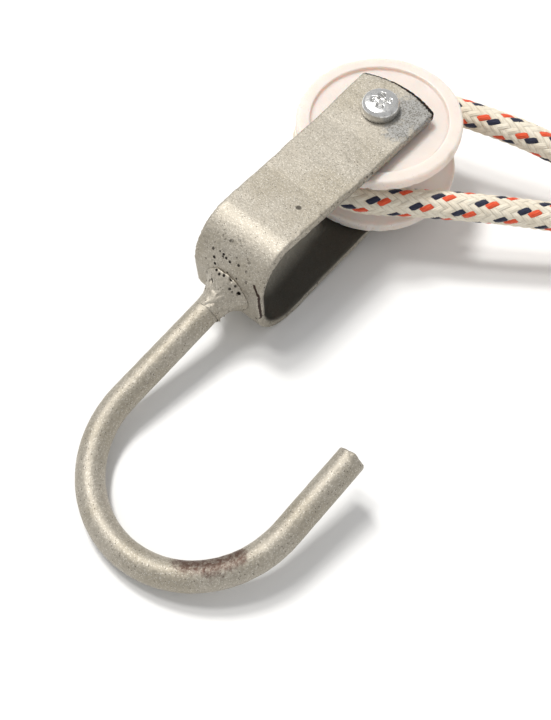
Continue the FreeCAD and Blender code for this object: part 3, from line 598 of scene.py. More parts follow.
@dataclass(frozen=True)
class RopeYarn:
    """Cream yarns with one dark and one red tracer in every four left-hand carriers."""

    cream: Colour = (0.92, 0.86, 0.73)
    tan: Colour = (0.70, 0.59, 0.43)
    dark: Colour = (0.012, 0.014, 0.030)
    red: Colour = (0.70, 0.065, 0.022)
    shadow: Colour = (0.36, 0.27, 0.16)

    def material(self) -> bpy.types.Material:
        """Build the rope's material; it reads the "braid" UV map: turns round, metres along."""
        finish = Finish("braided_yarn", {"Sheen Weight": 0.25, "Sheen Roughness": 0.5,
                                         "Specular IOR Level": 0.25})
        graph, where = finish.graph, finish.where
        place = graph.add("SeparateXYZ", {0: graph.add("UVMap", uv_map="braid").outputs[0]})
        braid = Effect.place(graph, "braid", {"Around": place.outputs[0],
                                              "Along": place.outputs[1]})
        dirt = graph.remap(graph.noise(where, 7, 3.0), 0.35, 0.75)
        cream = graph.mix(graph.times(dirt, 0.45), self.cream, self.tan)
        cream = graph.mix(graph.remap(braid.outputs["Strand"], 0.62, 0.38, 0.0, 0.45), cream,
                          self.tan)
        cream = graph.mix(graph.times(braid.outputs["Gap"], 0.55), cream, self.shadow)
        tone = graph.remap(braid.outputs["Strand"], 0.3, 0.7)
        dark = graph.mix(tone, self.dark, (0.035, 0.04, 0.075))
        red = graph.mix(tone, self.red, (0.86, 0.14, 0.06))
        colour = graph.mix(braid.outputs["Red"], cream, red)
        colour = graph.mix(braid.outputs["Dark"], colour, dark)
        rough = graph.remap(braid.outputs["Strand"], 0.2, 0.8, 0.70, 0.92)
        finish.set(Base_Color=colour, Roughness=rough)
        finish.bump((braid.outputs["Height"], 0.30), (graph.noise(where, 0.18, 3.0), 0.05))
        return finish.material


# ------------------------------------------------------------------ mesh helpers

def new_piece(name: str, mesh: bpy.types.Mesh, material: bpy.types.Material, slot: Slot,
              body: Body, *nodes: str) -> bpy.types.Object:
    """Make an object of a mesh, dress it and hang it on its body.

    Args:
        name: the piece's name.
        mesh: its mesh, already in place.
        material: its finish.
        slot: the record's slot that the finish belongs to; not used.
        body: what it moves with.
        *nodes: CAD nodes that it stands for.

    Returns:
        The object.
    """
    mesh.materials.clear()
    mesh.materials.append(material)
    piece = bpy.data.objects.new(name, mesh)
    bpy.context.scene.collection.objects.link(piece)
    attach(piece, body.value)
    if nodes:
        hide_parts(*nodes)
    return piece


def mesh_of(shape: bmesh.types.BMesh, name: str, smooth: bool = True) -> bpy.types.Mesh:
    """Turn a bmesh into a mesh and free it."""
    bmesh.ops.recalc_face_normals(shape, faces=shape.faces)
    for face in shape.faces:
        face.smooth = smooth
    mesh = bpy.data.meshes.new(name)
    shape.to_mesh(mesh)
    shape.free()
    return mesh


def take_in(shape: bmesh.types.BMesh, other: bmesh.types.BMesh) -> None:
    """Add a second shape to the first, and free the second."""
    mesh = mesh_of(other, "part")
    shape.from_mesh(mesh)
    bpy.data.meshes.remove(mesh)


def evaluated(data: bpy.types.ID, prepare: Callable[[bpy.types.Object], None] | None = None
              ) -> bpy.types.Mesh:
    """The mesh that Blender makes of a curve or of a mesh with modifiers.

    Args:
        data: the curve or mesh.
        prepare: gives the object that holds it for a moment its modifiers.

    Returns:
        The new mesh.
    """
    holder = bpy.data.objects.new("holder", data)
    bpy.context.scene.collection.objects.link(holder)
    if prepare:
        prepare(holder)
    bpy.context.view_layer.update()
    seen = holder.evaluated_get(bpy.context.evaluated_depsgraph_get())
    mesh = bpy.data.meshes.new_from_object(seen)
    bpy.data.objects.remove(holder)
    return mesh


def points_of(mesh: bpy.types.Mesh) -> np.ndarray:
    """A mesh's vertices, one row each."""
    flat = np.empty(len(mesh.vertices) * 3)
    mesh.vertices.foreach_get("co", flat)
    return flat.reshape(-1, 3)


def move_points(mesh: bpy.types.Mesh, points: np.ndarray) -> None:
    """Put a mesh's vertices where the rows say."""
    mesh.vertices.foreach_set("co", points.ravel())
    mesh.update()


def store(mesh: bpy.types.Mesh, name: str, values: np.ndarray) -> None:
    """Keep a number on each vertex."""
    mesh.attributes.new(name, "FLOAT", "POINT").data.foreach_set("value", values)


def normals_of(mesh: bpy.types.Mesh) -> np.ndarray:
    """A mesh's vertex normals, one row each."""
    flat = np.empty(len(mesh.vertices) * 3)
    mesh.vertex_normals.foreach_get("vector", flat)
    return flat.reshape(-1, 3)


def fine_copy(node: str, name: str, cell: float, turn: Matrix, soften: int) -> bpy.types.Mesh:
    """An even mesh of quads over a CAD node's shape, ready for fine relief.

    Args:
        node: the CAD node.
        name: the new mesh's name.
        cell: the quads' size, in millimetres.
        turn: the frame in which the quads are laid out, so that flat faces stay flat.
        soften: how many rounds of smoothing take the saw-teeth off the edges.

    Returns:
        The mesh, in the scene's frame.
    """
    mesh = frame["nodes"][node].data.copy()
    mesh.name = name
    mesh.transform(turn.inverted())
    shape = bmesh.new()
    shape.from_mesh(mesh)
    bmesh.ops.remove_doubles(shape, verts=shape.verts, dist=0.002 * MM)
    shape.to_mesh(mesh)
    shape.free()

    def prepare(holder: bpy.types.Object) -> None:
        """Even quads, then smoothing."""
        remesh = holder.modifiers.new("even", "REMESH")
        remesh.mode, remesh.voxel_size = "VOXEL", cell * MM
        smooth = holder.modifiers.new("soften", "SMOOTH")
        smooth.factor, smooth.iterations = 0.5, soften

    even = evaluated(mesh, prepare)
    even.name = name
    even.transform(turn)
    even.polygons.foreach_set("use_smooth", [True] * len(even.polygons))
    for layer in [a.name for a in even.attributes if a.name.startswith("custom")]:
        even.attributes.remove(even.attributes[layer])
    return even


def distances(line: np.ndarray) -> np.ndarray:
    """How far along a line each of its points is."""
    return np.concatenate([[0], np.cumsum(np.linalg.norm(np.diff(line, axis=0), axis=1))])


def lumps(points: np.ndarray, size: float, seed: float = 0.0) -> np.ndarray:
    """Smooth noise from -1 to 1 at each point, with lumps of that many millimetres."""
    shift = Vector((seed, seed * 1.7, seed * 0.6))
    scale = 1 / (size * MM)
    return np.array([noise.noise(Vector(p) * scale + shift) for p in points])


# ------------------------------------------------------------------ the painted steel

Worn = np.ndarray | float
CRACK = np.array([(70.6, 10.1, 10.1), (71.5, 11.4, 8.9), (71.6, 12.5, 7.2), (71.6, 12.6, 2.0),
                  (71.2, 12.5, -3.4), (72.1, 11.1, -4.5)])


@dataclass
class Clevis:
    """The bent strap, its hook and the weld between them."""

    lie: Lie
    paint: bpy.types.Material
    strap_width: float = 25.0
    end_width: float = 27.6
    end_reach: float = 12.3
    end_radius: float = 34.0
    crown: float = 72.2
    corner_radius: float = 14.5
    rod_radius: float = 4.2
    bar_slope: float = 0.125
    weld_length: float = 9.0
    cell: float = 0.5

    def painted(self, name: str, mesh: bpy.types.Mesh, node: str, points: np.ndarray,
                relief: np.ndarray, edge: Worn = 0.0, inside: Worn = 0.0, crack: Worn = 0.0
                ) -> bpy.types.Object:
        """Raise a mesh's relief, keep what the paint reads and make the piece.

        Args:
            name: the piece's name.
            mesh: its even mesh.
            node: the CAD node that it stands for.
            points: where the vertices lie before the relief.
            relief: height at each vertex, in millimetres.
            edge: how worn the paint is at each vertex.
            inside: where the painted shade on the clevis's inner faces goes.
            crack: how near the crack runs.

        Returns:
            The piece.
        """
        normals = normals_of(mesh)
        for label, values in (("edge", edge), ("inside", inside), ("crack", crack)):
            store(mesh, label, np.zeros(len(points)) + values)
        move_points(mesh, points + normals * relief[:, None] * MM)
        return new_piece(name, mesh, self.paint, Slot.PAINT, Body.BLOCK, node)

    def sheared(self, local: np.ndarray) -> np.ndarray:
        """How near a point of the strap is to a long side or to the leg's cut end."""
        x, y, _ = local.T
        bend_start = self.crown - self.corner_radius
        straight = np.clip((x + self.end_reach) / (bend_start + self.end_reach), 0, 1)
        half = (self.end_width + (self.strap_width - self.end_width) * straight) / 2
        side = half - np.abs(y)
        end = self.end_radius - np.hypot(x - (self.end_radius - self.end_reach), y)
        along_side = 0.68 * np.clip(1 - side / 1.0, 0, 1)
        breadth = 1.3 + 0.9 * np.clip(0.4 + y / 12, 0, 1)
        at_end = np.where(x < 5, np.clip(1.32 - end / breadth, 0, 1), 0)
        return np.maximum(along_side, at_end)

    def cracked(self, local: np.ndarray) -> np.ndarray:
        """How near a point is to the crack in the paint at the bend's edge."""
        apart = np.full(len(local), 9.0)
        for start, stop in zip(CRACK[:-1], CRACK[1:]):
            span = stop - start
            t = np.clip((local - start) @ span / (span @ span), 0, 1)
            apart = np.minimum(apart, np.linalg.norm(local - start - t[:, None] * span, axis=1))
        return np.clip(1 - apart / 1.7, 0, 1)

    def strap(self) -> bpy.types.Object:
        """The strap: sheared edges with chipped paint, and a slightly uneven face."""
        mesh = fine_copy("strap_clevis", "strap", self.cell, self.lie.matrix, 2)
        points, normals = points_of(mesh), normals_of(mesh)
        local = self.lie.local(points)
        edge = self.sheared(local)
        # Painted shade: the faces turned in towards the clevis's middle, the legs' inner sides and the
        # inside of the bend, are marked to be darkened nearly to black.
        along, _, up = (np.array(column[:3]) for column in list(self.lie.matrix.col)[:3])
        inward_z = -normals @ up * np.sign(local[:, 2])
        inward_x = -normals @ along * (local[:, 0] > 40)
        inside = np.clip(np.maximum(inward_z, inward_x) * 2, 0, 1)
        relief = 0.035 * lumps(points, 2.2) + 0.05 * lumps(points, 7.0, 3.0)
        relief -= 0.16 * edge * np.clip(lumps(points, 1.6, 9.0) - 0.05, 0, 1)
        return self.painted("painted_strap", mesh, "strap_clevis", points, relief, edge, inside,
                            self.cracked(local))

    def hook(self) -> bpy.types.Object:
        """The hook: round bar with a sawn tip that has a small burr."""
        mesh = fine_copy("hook_rod", "hook", 0.45, Matrix.Identity(4), 2)
        points = points_of(mesh)
        burr = np.array(self.lie.place(92.0, 63.2, 6.2))
        near_tip = np.clip(1 - np.linalg.norm(points - burr, axis=1) / (1.6 * MM), 0, 1)
        relief = 0.05 * lumps(points, 2.4) + 0.55 * near_tip
        return self.painted("painted_hook", mesh, "hook_rod", points, relief)

    def weld(self) -> bpy.types.Object:
        """The weld: a lumpy bead with blow-holes, drawn in to the bar at its far end."""
        mesh = fine_copy("weld_bead", "weld", 0.3, self.lie.matrix, 3)
        points = points_of(mesh)
        relief = 0.40 * lumps(points, 3.2, 2.0) + 0.18 * lumps(points, 1.3, 7.0)
        local = self.lie.local(points)
        past_crown = local[:, 0] - self.crown
        height = np.clip(past_crown / self.weld_length, 0, 1)
        outward = local + np.array([0, 0, self.bar_slope]) * past_crown[:, None]
        outward[:, 0] = 0
        away = np.linalg.norm(outward, axis=1)
        least = self.rod_radius + 0.1
        wanted = least + (away - least) * (1 - height) ** 1.4
        local += outward * ((wanted / away - 1) * (height > 0.02))[:, None]
        points = self.lie.outside(local)
        holes = np.clip(lumps(points, 1.7, 11.0) - 0.42, 0, 1)
        return self.painted("weld_lumps", mesh, "weld_bead", points, relief - 3.0 * holes,
                            np.clip(holes * 5, 0, 1))


# ------------------------------------------------------------------ the sheave and what holds it

def turned(profile: list[tuple[float, float]], steps: int, lie: Lie, closed: bool
           ) -> bmesh.types.BMesh:
    """Spin a profile about the screw's line.

    Args:
        profile: radius and height of each point, in millimetres, in the clevis's frame.
        steps: how many faces go round.
        lie: where the block lies.
        closed: whether the profile's last point joins its first.

    Returns:
        The turned shape, in the scene's frame.
    """
    shape = bmesh.new()
    verts = [shape.verts.new(Vector((radius, 0, height)) * MM) for radius, height in profile]
    pairs = list(zip(verts, verts[1:])) + ([(verts[-1], verts[0])] if closed else [])
    edges = [shape.edges.new(pair) for pair in pairs]
    bmesh.ops.spin(shape, geom=verts + edges, cent=(0, 0, 0), axis=(0, 0, 1), angle=TWO_PI,
                   steps=steps, use_merge=True)
    bmesh.ops.remove_doubles(shape, verts=shape.verts, dist=0.001 * MM)
    bmesh.ops.transform(shape, matrix=lie.matrix, verts=shape.verts)
    return shape


def arc(centre: tuple[float, float], radius: float, start: float, end: float, count: int
        ) -> list[tuple[float, float]]:
    """Points of an arc, with its angles in degrees."""
    angles = np.radians(np.linspace(start, end, count))
    return [(centre[0] + radius * math.cos(a), centre[1] + radius * math.sin(a)) for a in angles]


@dataclass
class Sheave:
    """The nylon wheel."""

    lie: Lie
    nylon: bpy.types.Material
    radius: float = 26.0
    half_width: float = 12.3
    floor_radius: float = 18.0
    floor_round: float = 5.0
    flank: float = 42.0
    rim_round: float = 1.1
    dish_radius: float = 22.0
    dish_depth: float = 1.3
    dish_round: float = 0.9
    hub_radius: float = 9.5
    bore: float = 5.06
    steps: int = 192

    def half_profile(self) -> list[tuple[float, float]]:
        """From the groove's floor over the rim and the dish to the bore, on the upper side."""
        tilt = math.radians(self.flank)
        floor_centre = (self.floor_radius + self.floor_round, 0.0)
        floor = arc(floor_centre, self.floor_round, 180, 90 + self.flank, 8)
        foot_x, foot_z = floor[-1]
        lip_x = self.radius - self.rim_round * (1 - math.cos(tilt / 2 + math.pi / 4)) - 0.35
        lip_z = foot_z + (lip_x - foot_x) * math.tan(tilt)
        flank = [(foot_x + (lip_x - foot_x) * t, foot_z + (lip_z - foot_z) * t)
                 for t in np.linspace(0, 1, 8)[1:]]
        top, rim = self.half_width, self.rim_round
        edge = [(self.radius - 0.08, lip_z + 0.42), (self.radius, lip_z + 0.9)]
        edge += arc((self.radius - rim, top - rim), rim, 0, 90, 7)
        low, bend = top - self.dish_depth, self.dish_round
        dish = arc((self.dish_radius, top - 0.45), 0.45, 90, 150, 4)
        dish += arc((self.dish_radius - 1.2, low + bend), bend, 330, 270, 5)
        hub = arc((self.hub_radius + bend, low + bend), bend, 270, 190, 5)
        hub += [(self.hub_radius, top - 0.3), (self.hub_radius - 0.3, top), (self.bore + 0.4, top),
                (self.bore, top - 0.4)]
        flat = [(r, low) for r in np.linspace(self.dish_radius - 2.2, self.hub_radius + 2, 9)]
        return floor + flank + edge + dish + flat + hub

    def build(self) -> bpy.types.Object:
        """Turn the wheel, then nick and scuff its rims."""
        upper = self.half_profile()
        lower = [(r, -z) for r, z in reversed(upper[1:])]
        shape = turned(upper + lower, self.steps, self.lie, closed=True)
        mesh = mesh_of(shape, "sheave_wheel")
        points, normals = points_of(mesh), normals_of(mesh)
        local = self.lie.local(points)
        reach = np.hypot(local[:, 0], local[:, 1])
        rim = np.clip((reach - self.radius + 1.6) / 1.4, 0, 1)
        store(mesh, "edge", rim)
        nicks = np.clip(lumps(points, 2.1, 4.0) - 0.25, 0, 1)
        relief = 0.05 * lumps(points, 6.0) - 0.9 * rim * nicks
        move_points(mesh, points + normals * relief[:, None] * MM)
        return new_piece("nylon_sheave", mesh, self.nylon, Slot.NYLON, Body.WHEEL, "sheave")


@dataclass
class AxleScrew:
    """The pan-head screw through the sheave; its recess is rounded out and dented."""

    lie: Lie
    zinc: bpy.types.Material
    head_radius: float = 5.95
    head_height: float = 4.4
    seat: float = 15.7
    shank_radius: float = 2.95
    end: float = -22.3
    arm_half: float = 0.75
    arm_reach: float = 3.2
    depth: float = 1.7
    turn: float = 24.0
    steps: int = 96

    def profile(self) -> list[tuple[float, float]]:
        """From the middle of the head to the middle of the screw's end."""
        top, r = self.seat + self.head_height, self.head_radius
        dome = [(r * 0.74 * t, top - 0.42 * (t ** 2)) for t in np.linspace(0.02, 1, 26)]
        shoulder_x, shoulder_z = dome[-1]
        turn_over = [(shoulder_x + (r - shoulder_x) * math.sin(a),
                      shoulder_z - 1.9 * (1 - math.cos(a)))
                     for a in np.radians(np.linspace(10, 90, 9))]
        skirt = [(r, self.seat + 0.35), (r - 0.3, self.seat)]
        shank = [(self.shank_radius, self.seat)]
        thread, z, pitch = [], self.seat - 28.0, 1.0
        while z - pitch > self.end + 0.8:
            thread += [(self.shank_radius, z), (self.shank_radius - 0.42, z - pitch / 2)]
            z -= pitch
        tail = [(self.shank_radius, self.end + 0.7), (self.shank_radius - 0.6, self.end),
                (0.05, self.end)]
        return dome + turn_over + skirt + shank + thread + tail

    def recess(self, x: np.ndarray, y: np.ndarray) -> np.ndarray:
        """How deep the worn cross is at a point of the head, in millimetres."""
        turn = math.radians(self.turn)
        u = x * math.cos(turn) + y * math.sin(turn)
        v = -x * math.sin(turn) + y * math.cos(turn)
        deep = np.zeros_like(x)
        for along, across in ((u, v), (v, u)):
            width = np.clip(1.25 - np.abs(across) / self.arm_half, 0, 1)
            reach = np.clip((self.arm_reach - np.abs(along)) / 0.9, 0, 1)
            deep = np.maximum(deep, np.minimum(width * 2.2, 1) * reach)
        for cx, cy, size in ((2.5, 0.5, 0.85), (-0.5, 2.5, 0.80), (-2.3, -0.6, 0.70),
                             (0.7, -2.3, 0.6)):
            lobe = np.clip(1.15 - np.hypot(u - cx, v - cy) / size, 0, 1)
            deep = np.maximum(deep, 0.75 * np.minimum(lobe * 2.5, 1))
        return deep * self.depth

    def build(self) -> bpy.types.Object:
        """Turn the screw and sink its recess."""
        shape = turned(self.profile(), self.steps, self.lie, closed=False)
        bmesh.ops.holes_fill(shape, edges=shape.edges, sides=0)
        mesh = mesh_of(shape, "screw")
        points = points_of(mesh)
        local = self.lie.local(points)
        on_top = (local[:, 2] > self.seat + 2.0).astype(float)
        down = self.recess(local[:, 0], local[:, 1]) * on_top
        dents = 0.02 * lumps(points, 1.6, 6.0) * on_top * (local[:, 2] > self.seat + 3.2)
        up = np.array(self.lie.matrix.col[2][:3])
        move_points(mesh, points + (dents - down)[:, None] * up * MM)
        return new_piece("pan_head_screw", mesh, self.zinc, Slot.ZINC, Body.BLOCK, "axle_screw")


# ------------------------------------------------------------------ the rope

@dataclass
class RopeTube:
    """A braided tube along a line, with the carriers' relief in its mesh."""

    radius: float = 4.5 * MM
    sides: int = 56

    def frames(self, line: np.ndarray) -> tuple[np.ndarray, np.ndarray, np.ndarray]:
        """Two directions square to the line at each of its points, carried without twist.

        Args:
            line: the centre line's points.

        Returns:
            The distance along the line, and the two directions.
        """
        ahead = np.gradient(line, axis=0)
        ahead /= np.linalg.norm(ahead, axis=1)[:, None]
        side = np.empty_like(line)
        first = np.cross(ahead[0], (0, 0, 1))
        side[0] = first / np.linalg.norm(first)
        for k in range(1, len(line)):
            carried = side[k - 1] - ahead[k] * (side[k - 1] @ ahead[k])
            side[k] = carried / np.linalg.norm(carried)
        return distances(line), side, np.cross(ahead, side)

    def build(self, line: np.ndarray, start: float, relief: np.ndarray, sides: int
              ) -> bmesh.types.BMesh:
        """Roll a grid round the line.

        Args:
            line: the centre line's points, one ring of the tube each.
            start: distance along the rope at the first point.
            relief: share of the braid's full relief at each point.
            sides: faces round the tube.

        Returns:
            The closed tube, with its "braid" UV map.
        """
        along, side, up = self.frames(line)
        shape = bmesh.new()
        layer = shape.loops.layers.uv.new("braid")
        rings = len(line)
        bmesh.ops.create_grid(shape, x_segments=rings - 1, y_segments=sides, size=1, calc_uvs=True)
        shape.verts.ensure_lookup_table()
        flat = np.array([v.co[:2] for v in shape.verts])
        ring = np.rint((flat[:, 0] + 1) / 2 * (rings - 1)).astype(int)
        turn = (flat[:, 1] + 1) / 2
        angle = turn * TWO_PI
        high = BRAID.height(turn, start + along[ring])
        reach = self.radius - BRAID.relief * relief[ring] * (1 - high)
        out = np.cos(angle)[:, None] * side[ring] + np.sin(angle)[:, None] * up[ring]
        for vert, place in zip(shape.verts, line[ring] + out * reach[:, None]):
            vert.co = place
        for face in shape.faces:
            for loop in face.loops:
                uv = loop[layer].uv
                uv.y, uv.x = start + along[int(round(uv.x * (rings - 1)))], uv.y
        bmesh.ops.remove_doubles(shape, verts=shape.verts, dist=0.001 * MM)
        bmesh.ops.holes_fill(shape, edges=[e for e in shape.edges if e.is_boundary], sides=0)
        return shape


STANDING_FALL = [
    (-64.8, 60.1, 13.0),
    (-54.8, 60.1, 13.8),
    (-44.3, 55.6, 17.8),
    (-36.6, 47.3, 22.2),
    (-33.0, 34.9, 24.9),
    (-27.6, 17.4, 26.0),
]
HAULING_FALL = [
    (4.7, 32.8, 21.8),
    (-9.8, 53.1, 21.0),
    (-23.5, 71.8, 17.5),
    (-40.4, 79.5, 12.5),
    (-68.8, 79.9, 7.0),
    (-108.0, 79.3, 4.6),
    (-131.0, 79.6, 4.5),
]
HANK_MIDDLE = (-183.7, 39.1)
HANK_WAY_OUT = [
    (-31.0, -25.0, 28.5),
    (-21.0, -19.5, 22.5),
    (-12.0, -13.0, 16.5),
    (-3.0, -8.4, 13.0),
    (6.0, -6.0, 13.0),
]
STANDING_ANGLE = 193.5
HAULING_ANGLE = 395.4
WRAP_CORNERS = 5


@dataclass
class Rope:
    """The braided rope: two falls, the wrap round the groove, a tied hank and its knots."""

    lie: Lie
    yarn: bpy.types.Material
    diameter: float = 9.0 * MM
    wrap_radius: float = 22.8
    hank_run: float = 74.0
    hank_turns: tuple[tuple[float, float], ...] = (
        (40.5, 4.5), (31.5, 4.5), (22.5, 4.5), (22.5, 13.5), (31.5, 13.5), (40.5, 13.5),
        (40.5, 22.5), (31.5, 22.5), (22.5, 22.5), (36.0, 30.3), (27.0, 30.3))
    fold_corners: int = 6
    last_corner: int = 7
    knot_heading: float = 15.0
    knot_length: float = 26.0
    knot_tail: float = 10.0
    knot_turns: float = 2.8
    knot_reach: float = 8.4
    knot_relief: float = 0.9
    groove_lead: float = 16.8
    fine_stretch: float = 0.25
    fine_step: float = 0.5 * MM
    hank_step: float = 1.7 * MM
    hank_relief: float = 0.35
    hank_sides: int = 24
    knot_sides: int = 32
    pinch: tuple[float, float] = (0.10, 0.08)
    pinch_middle: tuple[float, float] = (31.5, 16.0)
    line: np.ndarray | None = None

    def wrap(self) -> list[Vector]:
        """Corners of the rope's way round the groove."""
        half = math.radians(HAULING_ANGLE - STANDING_ANGLE) / WRAP_CORNERS / 2
        corner = self.wrap_radius / math.cos(half)
        angles = [math.radians(STANDING_ANGLE) + half * (2 * k + 1) for k in range(WRAP_CORNERS)]
        return [self.lie.place(corner * math.cos(a), corner * math.sin(a), 0) for a in angles]

    def turn_place(self, turned: float) -> tuple[float, float]:
        """Half width and height of the hank's line after so many turns.

        Args:
            turned: turns from the middle of the hank's side where the rope joins it.

        Returns:
            Half width and height, in millimetres.
        """
        turn = min(int(turned), len(self.hank_turns) - 2)
        (radius, height), (next_radius, next_height) = self.hank_turns[turn:turn + 2]
        share = turned - turn
        shift = min(max((share - 0.74) / 0.18, 0), 1)
        climb = min(max((share - 0.56) / 0.18, 0), 1)
        return radius + (next_radius - radius) * shift, height + (next_height - height) * climb

    def hank(self) -> list[Vector]:
        """Points of the put-away turns, pinched a little where the tie grips them."""
        points = []
        step = math.pi / self.fold_corners
        around = [(0.0, math.pi / 2, 0)]
        for side, start in ((-1, math.pi / 2), (1, -math.pi / 2)):
            around += [(side, start + step * (k + 0.5), 1) for k in range(self.fold_corners)]
            around += [(0.0, -math.pi / 2, 0)] if side < 0 else []
        for turn in range(len(self.hank_turns)):
            for index, (side, angle, corner) in enumerate(around):
                if turn == len(self.hank_turns) - 1 and index >= self.last_corner:
                    break
                radius, height = self.turn_place(turn + index / len(around))
                if index == 0:
                    radius += (self.pinch_middle[0] - radius) * self.pinch[0]
                    height += (self.pinch_middle[1] - height) * self.pinch[1]
                if corner:
                    radius /= math.cos(step / 2)
                points.append(self.lie.foot(
                    HANK_MIDDLE[0] + side * self.hank_run / 2 + radius * math.cos(angle),
                    HANK_MIDDLE[1] + radius * math.sin(angle), height))
        return points

    def route(self) -> list[Vector]:
        """The whole rope's control points, from the standing end to the hauling end."""
        standing = [self.lie.foot(*p) for p in STANDING_FALL]
        hauling = [self.lie.foot(*p) for p in HAULING_FALL]
        wrap = self.wrap()
        near_in = wrap[0] + (standing[-1] - wrap[0]).normalized() * self.groove_lead * MM
        near_out = wrap[-1] + (hauling[0] - wrap[-1]).normalized() * self.groove_lead * MM
        middle = self.lie.foot(*HANK_MIDDLE, 0)
        end = [middle + Vector(p) * MM for p in HANK_WAY_OUT]
        return standing + [near_in] + wrap + [near_out] + hauling + self.hank() + end

    def centre_line(self, points: list[Vector]) -> np.ndarray:
        """The smooth line through the control points, as a NURBS spline gives it."""
        curve = bpy.data.curves.new("rope_line", "CURVE")
        curve.dimensions = "3D"
        spline = curve.splines.new("NURBS")
        spline.points.add(len(points) - 1)
        for held, point in zip(spline.points, points):
            held.co = (*point, 1.0)
        spline.order_u = 3
        spline.use_endpoint_u = True
        curve.resolution_u = 16
        line = evaluated(curve)
        found = points_of(line)
        bpy.data.meshes.remove(line)
        return found

    def spaced(self, line: np.ndarray) -> tuple[np.ndarray, int]:
        """Points along the line: close together on the falls, wider in the hank.

        Args:
            line: the smooth line's points.

        Returns:
            The spaced points, and how many of them are in the close stretch.
        """
        gone = distances(line)
        close = np.arange(0, self.fine_stretch, self.fine_step)
        steps = int((gone[-1] - self.fine_stretch) / self.hank_step)
        wide = np.linspace(self.fine_stretch, gone[-1], steps)
        where = np.concatenate([close, wide])
        points = np.stack([np.interp(where, gone, line[:, axis]) for axis in range(3)], axis=1)
        return points, len(close)

    def build(self) -> bpy.types.Object:
        """The rope's tube, fine on the falls and plainer in the hank."""
        line, close = self.spaced(self.centre_line(self.route()))
        tube = RopeTube(self.diameter / 2)
        fade = np.ones(close + 1)
        shape = tube.build(line[:close + 1], 0.0, fade, tube.sides)
        gone = float(distances(line[:close + 1])[-1])
        plain = np.full(len(line) - close, self.hank_relief)
        take_in(shape, tube.build(line[close:], gone, plain, self.hank_sides))
        mesh = mesh_of(shape, "rope")
        piece = new_piece("braided_rope", mesh, self.yarn, Slot.ROPE, Body.BLOCK,
                          "rope_run", "rope_hank")
        self.line = line
        return piece

    def knot(self, name: str, node: str, start: Vector, heading: Vector, lead: float
             ) -> bpy.types.Object:
        """A stopper knot: wraps round the rope's end, and its tail.

        Args:
            name: the piece's name.
            node: the CAD knot that it replaces.
            start: where the rope's own tube ends.
            heading: the way the tail points.
            lead: straight rope before the knot, in millimetres.

        Returns:
            The knot.
        """
        across = Vector((0, 0, 1)).cross(heading).normalized()
        up = heading.cross(across)
        long = lead + self.knot_length + self.knot_tail
        core = np.array([start + heading * t * MM for t in np.arange(-1.0, long, 0.9)])
        tube = RopeTube(self.diameter / 2)
        relief = np.full(len(core), self.knot_relief)
        shape = tube.build(core, 0.0, relief, self.knot_sides)
        wraps = []
        for t in np.linspace(0, 1, 170):
            angle = TWO_PI * self.knot_turns * t
            out = self.knot_reach * min(1.0, 0.2 + t * 8, 0.2 + (1 - t) * 8)
            margin = self.knot_reach / 2
            place = heading * (lead + margin + (self.knot_length - 2 * margin) * t)
            wraps.append(start + (place + (across * math.cos(angle) + up * math.sin(angle)) * out) * MM)
        relief = np.full(len(wraps), self.knot_relief)
        take_in(shape, tube.build(np.array(wraps), 0.1, relief, self.knot_sides))
        return new_piece(name, mesh_of(shape, name), self.yarn, Slot.ROPE, Body.BLOCK, node)

    def knots(self) -> list[bpy.types.Object]:
        """The knots of both ends."""
        first, second = (self.lie.foot(*p) for p in STANDING_FALL[:2])
        outward = Vector((*(first - second).xy, 0)).normalized()
        last = self.lie.foot(*HANK_MIDDLE, 0) + Vector(HANK_WAY_OUT[-1]) * MM
        turn = math.radians(self.knot_heading)
        return [self.knot("standing_knot", "standing_end_knot", first, outward, 3.0),
                self.knot("hauling_knot", "hauling_end_knot", last,
                          Vector((math.cos(turn), math.sin(turn), 0)), 0.0)]


# ------------------------------------------------------------------ the studio

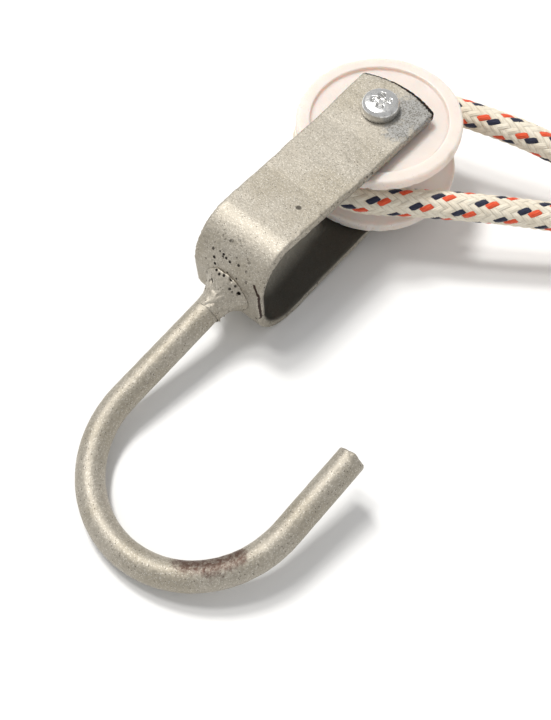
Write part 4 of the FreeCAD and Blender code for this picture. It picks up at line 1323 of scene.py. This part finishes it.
@dataclass
class Studio:
    """A pale floor, two lamps up and to the camera's left, and the camera."""

    camera_at: tuple[float, float, float] = (133.14, 99.74, 252.32)
    camera_turn: tuple[float, float, float] = (32.095, -0.905, 130.664)
    lens: float = 49.07
    floor_size: float = 6.0
    floor_tint: Colour = (0.92, 0.92, 0.915)
    sky: Colour = (1.0, 1.0, 1.0)
    sky_strength: float = 0.54
    lamp_tint: Colour = (1.0, 0.985, 0.96)
    lamp_away: float = 1.4

    def camera(self) -> bpy.types.Object:
        """Place the camera."""
        data = bpy.data.cameras.new("camera")
        data.sensor_width, data.lens = 36.0, self.lens
        data.clip_start, data.clip_end = 0.01, 20.0
        camera = bpy.data.objects.new("camera", data)
        bpy.context.scene.collection.objects.link(camera)
        camera.location = Vector(self.camera_at) * MM
        camera.rotation_euler = Euler([math.radians(a) for a in self.camera_turn])
        bpy.context.scene.camera = camera
        bpy.context.view_layer.update()
        return camera

    def floor(self) -> bpy.types.Object:
        """A plain pale floor."""
        shape = bmesh.new()
        bmesh.ops.create_grid(shape, x_segments=1, y_segments=1, size=self.floor_size / 2)
        finish = Finish("pale_floor", {"Roughness": 0.75, "Specular IOR Level": 0.2})
        mottle = finish.graph.noise(finish.where, 60, 2.0)
        finish.set(Base_Color=finish.graph.mix(mottle, self.floor_tint, (0.90, 0.90, 0.90)))
        mesh = mesh_of(shape, "floor", smooth=False)
        mesh.materials.append(finish.material)
        floor = bpy.data.objects.new("floor", mesh)
        bpy.context.scene.collection.objects.link(floor)
        return floor

    def lamp(self, name: str, toward: Vector, size: float, power: float) -> None:
        """A square soft lamp.

        Args:
            name: the lamp's name.
            toward: direction from the block to the lamp.
            size: side of the lamp in metres.
            power: watts.
        """
        data = bpy.data.lights.new(name, "AREA")
        data.shape, data.size, data.energy, data.color = "SQUARE", size, power, self.lamp_tint
        lamp = bpy.data.objects.new(name, data)
        bpy.context.scene.collection.objects.link(lamp)
        lamp.location = toward.normalized() * self.lamp_away
        lamp.rotation_euler = toward.to_track_quat("Z", "Y").to_euler()

    def light(self, camera: bpy.types.Object) -> None:
        """Sky and lamps, set by the camera's own left and up."""
        world = bpy.data.worlds.new("soft_sky")
        bpy.context.scene.world = world
        world.use_nodes = True
        sky = world.node_tree.nodes["Background"]
        sky.inputs[0].default_value = (*self.sky, 1.0)
        sky.inputs[1].default_value = self.sky_strength
        turn = camera.matrix_world.to_3x3()
        right, up = turn.col[0], turn.col[1]
        vertical = Vector((0, 0, 1))
        self.lamp("key", vertical * 1.20 - right * 0.42 + up * 0.80, 0.24, 10.5)
        self.lamp("second", vertical * 1.5 - right * 0.50 + up * 0.30, 0.22, 5.0)
        bpy.context.scene.view_settings.view_transform = "Standard"


# ------------------------------------------------------------------ putting it together

def dress(node: str, material: bpy.types.Material) -> None:
    """Give a CAD node's surface its finish."""
    data = frame["nodes"][node].data
    data.materials.clear()
    data.materials.append(material)
    LOG.info("%s dressed", node)


def main() -> None:
    """Build the block, its rope and the studio."""
    logging.basicConfig(level=logging.INFO, format="%(name)s: %(message)s")
    lie = Lie.from_joint(frame["joints"][0])
    for build in (build_spot_effect, build_speck_effect, build_braid_effect):
        build()
    studio = Studio()
    camera = studio.camera()
    rope = Rope(lie, RopeYarn().material())
    tube = rope.build()
    knots = rope.knots()
    paint = HammeredPaint().material(lie)
    zinc = BrightMetal("zinc_plate", (0.83, 0.83, 0.82), (0.55, 0.54, 0.52), 0.16, 0.42).material()
    steel = BrightMetal("turned_steel", (0.62, 0.61, 0.59), (0.40, 0.37, 0.33), 0.25, 0.5).material()
    clevis = Clevis(lie, paint)
    pieces = [tube, *knots, clevis.strap(), clevis.hook(), clevis.weld(),
              Sheave(lie, MilkyNylon().material()).build(), AxleScrew(lie, zinc).build()]
    for piece in pieces:
        LOG.info("%s: %d faces", piece.name, len(piece.data.polygons))
    dress("spacer_sleeve", steel)
    dress("axle_nut", zinc)
    dress("nut_insert", MouldedPlastic("lock_nylon", (0.10, 0.20, 0.42), (0.07, 0.15, 0.33),
                                       0.45).material())
    dress("hank_tie", MouldedPlastic("tie_plastic", (0.035, 0.035, 0.038), (0.05, 0.05, 0.052),
                                     0.42).material())
    studio.floor()
    studio.light(camera)


if __name__ == "__main__":
    main()
